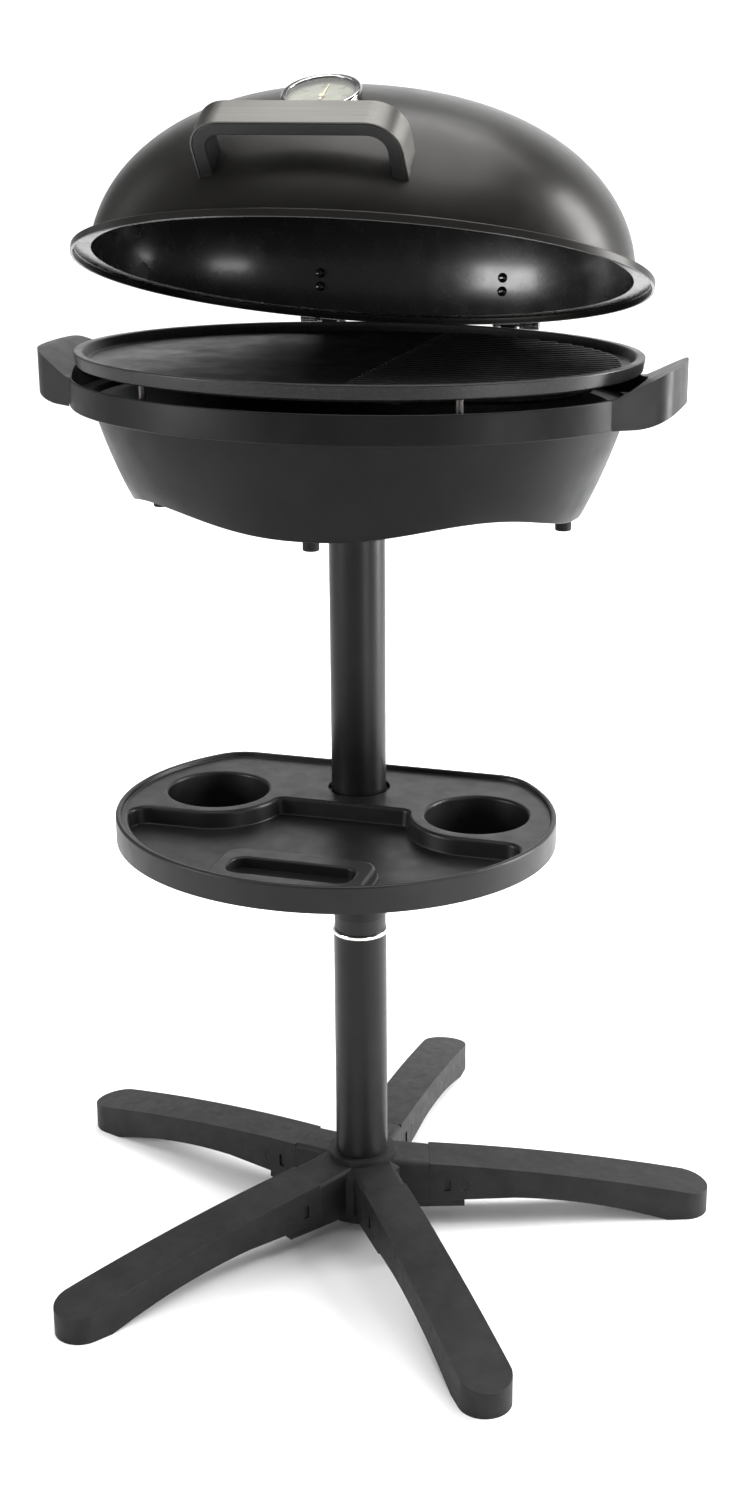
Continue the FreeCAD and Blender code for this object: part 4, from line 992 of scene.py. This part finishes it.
# Under the plate
# Dark steel posts, the sheathed heating element in its clips, an aluminium reflector with a loose drip dish,
# and the inlet for the controller's plug, screwed behind the plate. The parts keep their solids' shapes.
element_steel = plain_finish("element_steel", (45, (0.05, 0.047, 0.045), (0.1, 0.094, 0.09), 5),
                             (240, 0.42, 0.58), Metallic=1.0)
as_solid("plate_feet", "plate_posts", element_steel, "stand", "steel_wire", 0.5, 2)
as_solid("heating_element", "heating_element_rod", element_steel, "stand", "steel_wire")
as_solid("element_clips", "element_clip_set", element_steel, "stand", "steel_wire", 0.4, 2)

aluminium, tree, shader, place = new_finish("bare_aluminium", Metallic=1.0)
rolled = clouds(tree, stretched(tree, place, (30, 900, 300)), 1, detail=3)
shades(tree, rolled, [(0.3, 0.1), (0.7, 0.15)], shader.inputs["Base Color"])
shades(tree, rolled, [(0.3, 0.42), (0.7, 0.55)], shader.inputs["Roughness"])
for node in ("reflector", "drip_tray"):
    as_solid(node, f"{node}_sheet", aluminium, "stand", "bare_aluminium")

as_solid("inlet_housing", "inlet_housing_moulding", sleeve_black, "stand", "sleeve_plastic", 0.8)
pin_steel = plain_finish("pin_steel", (90, 0.2, 0.32), (500, 0.2, 0.34),
                         Metallic=1.0)
as_solid("inlet_pins", "inlet_pin_set", pin_steel, "stand", "steel_wire", 0.6, 2)

# Lid
# A deep-drawn steel dome, painted graphite outside and black inside, with a flat flange on the plate's rim.
# The flange ends in a rolled hem. The lid swings on two hinges behind the bowl and rests half open.
lid_half = 253
lid_seat = 849.3
lid_sheet = 1
lid_hem = 2.6
lid_hem_height = 7
dome_half = 236
dome_height = 142
dome_base = lid_seat + lid_sheet
dome_round = 0.83
dome_lift = 1.03
lid_open = 19
hinge_y = 204.0024
hinge_z = 848.5


def dome_point(share, grow):
    turn = share * math.pi / 2
    return Vector(((dome_half + grow) * math.cos(turn) ** dome_round,
                   dome_base + (dome_height + grow) * math.sin(turn) ** dome_lift))


def dome_heading(share):
    if share == 0:
        return Vector((0, 1))
    if share == 1:
        return Vector((-1, 0))
    return (dome_point(share + 0.005, 0) - dome_point(share - 0.005, 0)).normalized()


def dome_line(grow, count):
    """The dome's side from its base to its crown, as four smooth spans."""
    line = []
    for span in range(4):
        first, second = span / 4, (span + 1) / 4
        start, end = dome_point(first, grow), dome_point(second, grow)
        pull = (end - start).length / 3
        a, b = start + dome_heading(first) * pull, end - dome_heading(second) * pull
        for number in range(count):
            t = number / count
            s = 1 - t
            line.append(tuple(start * s ** 3 + a * 3 * s * s * t + b * 3 * s * t * t + end * t ** 3))
    return line + [(pole, dome_base + dome_height + grow)]


def meridian(share):
    """A place on the front of the dome, and the lean of its normal from upright."""
    spot, heading = dome_point(share, 0), dome_heading(share)
    return Vector((0, -spot.x * depth_share, spot.y)), math.atan2(heading.y, -heading.x * depth_share)


hinge_line = Vector((0, hinge_y, hinge_z)) * mm
open_turn = (Matrix.Translation(hinge_line) @ Matrix.Rotation(math.radians(-lid_open), 4, "X")
             @ Matrix.Translation(-hinge_line))

hem_low = dome_base - lid_hem_height
rim_line = [(lid_half - lid_hem, lid_seat), (lid_half - lid_hem, hem_low), (lid_half, hem_low),
            (lid_half, dome_base), (dome_half, dome_base)]
lid = turned("lid_pressing", dome_line(-lid_sheet, 8)[::-1] + [(dome_half - lid_sheet, lid_seat)] + rim_line
             + dome_line(0, 8)[1:], 224)


def round_hem(edge):
    """The rings of the rolled hem."""
    (r0, z0), (r1, z1) = [(math.hypot(v.co.x, v.co.y) / mm, v.co.z / mm) for v in edge.verts]
    return min(r0, r1) > lid_half - lid_hem - 0.2 and max(z0, z1) < dome_base + 0.1 \
        and abs(z0 - z1) < 0.05 and abs(r0 - r1) < 0.05


def dome_foot(edge):
    """The ring where the dome rises from the flange."""
    return all(abs(v.co.z / mm - dome_base) < 0.02 and abs(math.hypot(v.co.x, v.co.y) / mm - dome_half) < 0.3
               for v in edge.verts)


softened(lid, round_hem, 1.1, 4)
softened(lid, dome_foot, 3.2, 5)
made_oval(lid)

lid_graphite, tree, shader, place = new_finish("lid_graphite", Metallic=0.6, Specular_IOR_Level=0.2,
                                               Coat_Weight=0.03, Coat_Roughness=0.2)
shades(tree, clouds(tree, place, 9, detail=4),
       [(0.3, (0.0165, 0.0159, 0.0147)), (0.7, (0.0215, 0.0207, 0.0191))], shader.inputs["Base Color"])
shades(tree, clouds(tree, place, 60), [(0.3, 0.3), (0.7, 0.36)], shader.inputs["Roughness"])
relief(tree, clouds(tree, place, 2200, detail=1), 0.3, 0.02, shader.inputs["Normal"])
lid_enamel, tree, shader, place = new_finish("lid_enamel", Specular_IOR_Level=0.5, Coat_Weight=0.25,
                                             Coat_Roughness=0.14)
shades(tree, clouds(tree, place, 12, detail=4), [(0.3, 0.011), (0.7, 0.017)], shader.inputs["Base Color"])
shades(tree, clouds(tree, place, 50), [(0.3, 0.22), (0.7, 0.3)], shader.inputs["Roughness"])
relief(tree, clouds(tree, place, 500, detail=2), 0.2, 0.02, shader.inputs["Normal"])
lid.data.materials.append(lid_graphite)
lid.data.materials.append(lid_enamel)
for face in lid.data.polygons:
    x, y, z = face.center / mm
    outward = face.normal.x * x + face.normal.y * y / depth_share ** 2 + face.normal.z * (z - dome_base)
    under_flange = z < dome_base - 0.5 and face.normal.z < -0.4
    on_dome = math.hypot(x, y / depth_share) < dome_half - 0.2
    face.material_index = 1 if (on_dome and outward < 0) or under_flange else 0
lid.data.transform(open_turn)
settled(lid, None, "lid_assembly", "lid_enamel", "lid", angle=40)

# Lid handle
# A black plastic bow with a brushed stainless strip bent over its outer face.
# Two screws from inside the lid hold its feet, which follow the dome.
bow_half = 84.5
bow_reach = 36
bow_width = 26
bow_thickness = 11.5
bow_corner = 26
bow_tilt = 55
bow_share = 0.235
strip = 1.5
dome_gap = 0.15
seam = 0.1


def bow_outline(outer, thickness):
    radius = bow_corner - bow_half + outer
    top = bow_reach - bow_half + outer
    inner = outer - thickness
    inner_radius = radius - thickness
    return eased([(-outer, -bow_reach, 0), (-outer, top, radius), (outer, top, radius),
                  (outer, -bow_reach, 0), (inner, -bow_reach, 0), (inner, top - thickness, inner_radius),
                  (-inner, top - thickness, inner_radius), (-inner, -bow_reach, 0)], 14)


def dome_solid(grow):
    """The dome as a closed solid. Its last ring comes out a little off its first, so the two are welded."""
    solid = turned("dome", dome_line(grow, 8) + [(pole, dome_base), (dome_half + grow, dome_base)], 160)
    made_oval(solid)
    opened_up(solid)
    bpy.ops.mesh.remove_doubles(threshold=seam * mm)
    bpy.ops.mesh.normals_make_consistent(inside=False)
    bare()
    return solid


def bow_piece(name, outer, thickness, edge, segments):
    """A bow with rounded edges, seated on the front of the dome and opened with the lid."""
    piece = prism(name, bow_outline(outer, thickness), -bow_width / 2, bow_width / 2, upright=True)
    rounded(piece, edge, segments, angle=40)
    piece.data.transform(Matrix.Translation(meridian(bow_share)[0] * mm)
                         @ Matrix.Rotation(math.radians(bow_tilt), 4, "X"))
    carved(piece, dome_solid(dome_gap))
    piece.data.transform(open_turn)
    return piece


bow = bow_piece("lid_handle_moulding", bow_half, bow_thickness, 1.6, 4)
settled(bow, grip_black, "lid_assembly", "handle_plastic", "lid_handle")

brushed, tree, shader, place = new_finish("brushed_strip", Metallic=1.0, Anisotropic=0.5)
lines_across = clouds(tree, stretched(tree, place, (8, 1500, 1500)), 1, detail=3, rough=0.7)
shades(tree, lines_across, [(0.3, (0.064, 0.062, 0.0575)), (0.7, (0.105, 0.102, 0.0955))],
       shader.inputs["Base Color"])
shades(tree, lines_across, [(0.3, 0.36), (0.7, 0.48)], shader.inputs["Roughness"])
relief(tree, lines_across, 0.2, 0.02, shader.inputs["Normal"])
trim = bow_piece("handle_strip", bow_half + strip, strip - 0.02, 0.35, 2)
settled(trim, brushed, "lid_assembly", "brushed_strip", "handle_trim")
as_solid("lid_handle_screws", "lid_handle_screw_pair", screw_steel, "lid_assembly", "screw_steel", 0.8)

# Thermometer
# A dial thermometer on the lid's crown: a chromed bezel crimped over a flat glass, a needle and a painted
# dial with a printed scale. Its stem goes through the lid, and a hexagon nut holds it from inside.
dial_share = 0.51
bezel_radius = 32.5
bezel_width = 5
case_wall = 1.5
dial_thickness = 0.8
glass_top = 6.5
dial_lift = 0.3
dial_spot, dial_tilt = meridian(dial_share)
dial_spot += Vector((0, -math.sin(dial_tilt), math.cos(dial_tilt))) * dial_lift
dial_frame = open_turn @ Matrix.Translation(dial_spot * mm) @ Matrix.Rotation(dial_tilt, 4, "X")

chrome = plain_finish("bezel_chrome", (80, 0.34, 0.44), (300, 0.08, 0.16),
                      Metallic=1.0)
wall = case_wall - 0.05
bezel = turned("thermometer_bezel_ring", loop([(bezel_radius - wall, case_wall), (bezel_radius, case_wall),
               (bezel_radius, glass_top), (bezel_radius - case_wall, glass_top + case_wall),
               (bezel_radius - bezel_width, glass_top + case_wall - 0.4),
               (bezel_radius - bezel_width, glass_top + 0.05), (bezel_radius - wall, glass_top + 0.05)]), 96)
rounded(bezel, 0.5, 3, angle=20)
bezel.data.transform(dial_frame)
settled(bezel, chrome, "lid_assembly", "bezel_chrome", "thermometer_bezel")
as_solid("thermometer_case", "thermometer_case_cup", chrome, "lid_assembly", "bezel_chrome")
as_solid("thermometer_nut", "thermometer_hex_nut", pin_steel, "lid_assembly", "screw_steel", 0.5, 2)

dial_paint, tree, shader, place = new_finish("dial_paint", Roughness=0.6, Specular_IOR_Level=0.2)
flat = stretched(tree, place, (1, 1, 1), dial_frame.translation, dial_frame.to_euler(), "TEXTURE")
shades(tree, clouds(tree, flat, 120, detail=4), [(0.3, (0.17, 0.175, 0.135)), (0.7, (0.22, 0.225, 0.175))],
       shader.inputs["Base Color"])
as_solid("thermometer_dial", "thermometer_dial_plate", dial_paint, "lid_assembly", "dial_paint")

scale_sweep = (58, -178)
scale_numbers = (50, 100, 150, 200, 250, 300)
scale_steps = 5
mark_radius = 26.6
long_mark = (4, 0.32)
short_mark = (2.4, 0.16)
figure_inset = 7.4
figure_height = 4.4
print_thickness = 0.05
print_level = case_wall + dial_thickness + 0.005


def figure_mesh(figure, turn):
    """A number printed on the dial, upright, as a thin mesh."""
    bare()
    bpy.ops.object.text_add()
    text = bpy.context.object
    text.data.body = str(figure)
    text.data.align_x = "CENTER"
    text.data.align_y = "CENTER"
    text.data.size = figure_height * mm
    text.data.extrude = print_thickness / 2 * mm
    bpy.ops.object.convert(target="MESH")
    text = bpy.context.object
    radius = mark_radius - figure_inset
    middle = Vector((-radius * math.sin(turn), radius * math.cos(turn), print_level + print_thickness / 2))
    text.data.transform(Matrix.Translation(middle * mm))
    return text


marks = []
count = (len(scale_numbers) - 1) * scale_steps
for number in range(count + 1):
    turn = math.radians(scale_sweep[0] + (scale_sweep[1] - scale_sweep[0]) * number / count)
    numbered = number % scale_steps == 0
    length, half = long_mark if numbered else short_mark
    tick = block(-half, half, mark_radius - length, mark_radius, print_level, print_level + print_thickness)
    tick.data.transform(Matrix.Rotation(turn, 4, "Z"))
    marks.append(tick)
    if numbered:
        marks.append(figure_mesh(scale_numbers[number // scale_steps], turn))
scale = joined(marks)
scale.name = scale.data.name = "thermometer_scale"
scale.data.transform(dial_frame)
scale_print = plain_finish("scale_print", (900, (0.03, 0.03, 0.024), (0.05, 0.05, 0.04)),
                           Roughness=0.5, Specular_IOR_Level=0.2)
settled(scale, scale_print, "lid_assembly", "dial_paint")

needle_paint = plain_finish("needle_paint", (400, (0.5, 0.42, 0.27), (0.6, 0.52, 0.36)),
                            Roughness=0.35)
as_solid("thermometer_needle", "thermometer_needle_blade", needle_paint, "needle", "needle_paint")
glass_clear = plain_finish("dial_glass", (30, 0.9, 1.0), (150, 0.03, 0.07),
                           Alpha=0.07, Specular_IOR_Level=0.3)
as_solid("thermometer_glass", "thermometer_glass_disc", glass_clear, "lid_assembly", "dial_glass", 0.3, 2)

# Hinges
# Two black steel hinges: a leaf screwed to the lid's rear turns between the ears of a bracket on the band.
# Bright knurled pins can be drawn out sideways to take the lid off.
screw_heights = (20, 32)
pin_shaft = (72.5, 101.8, 3)
pin_grip = (15, 4.5, 40)
knurl_depth = 0.45
hinge_black = plain_finish("hinge_black", (60, 0.007, 0.013), (260, 0.34, 0.46),
                           Metallic=0.3, Specular_IOR_Level=0.5)
screw_black = plain_finish("screw_black", (300, 0.005, 0.009), (900, 0.12, 0.2),
                           Specular_IOR_Level=0.6)

teeth = []
for number in range(pin_grip[2] * 2):
    turn, radius = math.tau * number / pin_grip[2] / 2, pin_grip[1] - (knurl_depth if number % 2 else 0)
    teeth.append((radius * math.cos(turn), radius * math.sin(turn)))
knurl = prism("right_hinge_pin_rod", teeth, 0, pin_grip[0])
carved(knurl, turned("ends", [(pole, -1), (3.4, -1), (5.1, 1.2), (5.1, pin_grip[0] - 1.2),
                              (3.4, pin_grip[0] + 1), (pole, pin_grip[0] + 1)], 64), "INTERSECT")
shaft = prism("shaft", ringed(pin_shaft[2], count=40), pin_shaft[0] - pin_shaft[1], 0.6)
right_pin = carved(knurl, shaft, "UNION")
right_pin.data.transform(Matrix.Translation(Vector((pin_shaft[1], hinge_y, hinge_z)) * mm)
                         @ Matrix.Rotation(math.pi / 2, 4, "Y"))
left_pin = mirrored(right_pin, "left_hinge_pin_rod")
settled(right_pin, pin_steel, "stand", "screw_steel", "right_hinge_pin")
settled(left_pin, pin_steel, "stand", "screw_steel", "left_hinge_pin")

for side in ("left", "right"):
    for part, body in (("leaf", "lid_assembly"), ("bracket", "stand")):
        node = f"{side}_hinge_{part}"
        as_solid(node, f"{node}_plate", hinge_black, body, "hinge_steel", 0.4, 2, angle=40)


def dome_side(x, height):
    """A place on the rear of the dome at a height over its base, and the outward normal there."""
    lift = math.asin((height / dome_height) ** (1 / dome_lift))
    spread = dome_half * math.cos(lift) ** dome_round
    y = depth_share * math.sqrt(spread ** 2 - x ** 2)
    slope = dome_round * math.tan(lift) ** 2 * spread / (dome_lift * height)
    normal = Vector((x / spread, y / spread / depth_share ** 2, slope)).normalized()
    return Vector((x, y, dome_base + height)), normal


head = turned("hinge_screw_set", [(pole, -3.5), (1.2, -3.45), (2.4, -3.1), (3.4, -2.4), (4.1, -1.5),
              (4.45, -0.6), (4.5, 0), (1.75, 0), (1.75, 4.2), (pole, 4.2)], 40)
for wide, deep in ((0.5, 2.2), (2.2, 0.5)):
    carved(head, block(-wide, wide, -deep, deep, -5, -2.3))
heads = []
for side in (-1, 1):
    for height in screw_heights:
        spot, normal = dome_side(side * hinge_x, height)
        copy = copied(head, "head")
        seat = spot - normal * lid_sheet
        copy.data.transform(open_turn @ Matrix.Translation(seat * mm)
                            @ normal.to_track_quat("Z", "Y").to_matrix().to_4x4())
        heads.append(copy)
bpy.data.objects.remove(head, do_unlink=True)
domed = joined(heads)
domed.name = domed.data.name = "hinge_screw_set"
settled(domed, screw_black, "lid_assembly", "screw_steel", "hinge_screws")

# Studio
# A pale sweep, soft boxes and the camera at the photograph's angle. The picture is 747 by 1500.
camera_azimuth = math.radians(17.2)
camera_reach = 1768
camera_height = 1096
camera_yaw = math.radians(0.53)
camera_pitch = math.radians(19.04)
camera_roll = math.radians(-0.32)
focal_pixels = 2042
picture_height = 1500
framing_pixels = 3
film_height = 36
sweep_size = 14
sweep_height = 8
sweep_round = 2.5

bare()
bpy.ops.mesh.primitive_plane_add(size=sweep_size)
floor = bpy.context.object
floor.name = floor.data.name = "studio_floor"
edges_picked(floor, lambda edge: all(v.co.y > 6 for v in edge.verts))
extruded(0, 0, sweep_height)
edges_picked(floor, lambda edge: all(v.co.y > 6 and v.co.z < 1 for v in edge.verts))
bpy.ops.mesh.bevel(offset=sweep_round, segments=16, affect="EDGES")
taken_up(floor)
bpy.ops.object.shade_smooth_by_angle(angle=math.radians(40))
floor.data.materials.append(plain_finish("studio_paper", (3, 0.84, 0.86), Roughness=0.9))

world = bpy.data.worlds.new("studio")
bpy.context.scene.world = world
world.use_nodes = True
sky = world.node_tree.nodes["Background"].inputs
sky["Color"].default_value = (1, 1, 1, 1)
sky["Strength"].default_value = 0.2


def soft_box(name, place, target, width, depth, power):
    light = bpy.data.lights.new(name, "AREA")
    light.shape = "RECTANGLE"
    light.size = width
    light.size_y = depth
    light.energy = power
    lamp = bpy.data.objects.new(name, light)
    bpy.context.scene.collection.objects.link(lamp)
    lamp.location = place
    lamp.rotation_euler = (Vector(target) - Vector(place)).to_track_quat("-Z", "Y").to_euler()


soft_box("top_box", (0.3, 0.2, 3.6), (0.1, 0.1, 0.6), 3.2, 2.4, 105)
soft_box("floor_box", (0, -0.5, 5.5), (0, -0.5, 0), 6, 6, 230)
soft_box("backdrop_box", (0, 2.2, 5.5), (0, 7, 2.2), 7, 2, 480)
soft_box("right_box", (2.3, 0.95, 1.3), (0, 0, 0.7), 0.7, 2.6, 155)
soft_box("left_box", (-2.2, 0.35, 1.3), (0, 0, 0.8), 0.5, 1.9, 3)
soft_box("low_right_box", (1.5, -1.15, 0.5), (-0.15, 0.13, 0.92), 0.6, 0.8, 11)
soft_box("low_left_box", (-1.55, -1.25, 0.85), (0.1, 0.17, 0.9), 0.9, 0.62, 24)

camera = bpy.data.objects.new("camera", bpy.data.cameras.new("camera"))
bpy.context.scene.collection.objects.link(camera)
ahead = Vector((math.sin(camera_yaw) * math.cos(camera_pitch), math.cos(camera_yaw) * math.cos(camera_pitch),
                -math.sin(camera_pitch)))
across = Vector((math.cos(camera_yaw), -math.sin(camera_yaw), 0))
upward = across.cross(ahead)
rolled_across = across * math.cos(camera_roll) + upward * math.sin(camera_roll)
rolled_up = upward * math.cos(camera_roll) - across * math.sin(camera_roll)
stance = Matrix((rolled_across, rolled_up, -ahead)).transposed().to_4x4()
stance.translation = Vector((0, -camera_reach, camera_height)) * mm
camera.matrix_world = Matrix.Rotation(camera_azimuth, 4, "Z") @ stance
camera.data.sensor_fit = "VERTICAL"
camera.data.sensor_height = film_height
camera.data.lens = film_height * focal_pixels / picture_height
camera.data.shift_x = -framing_pixels / picture_height
bpy.context.scene.camera = camera
bpy.context.scene.view_settings.view_transform = "Standard"
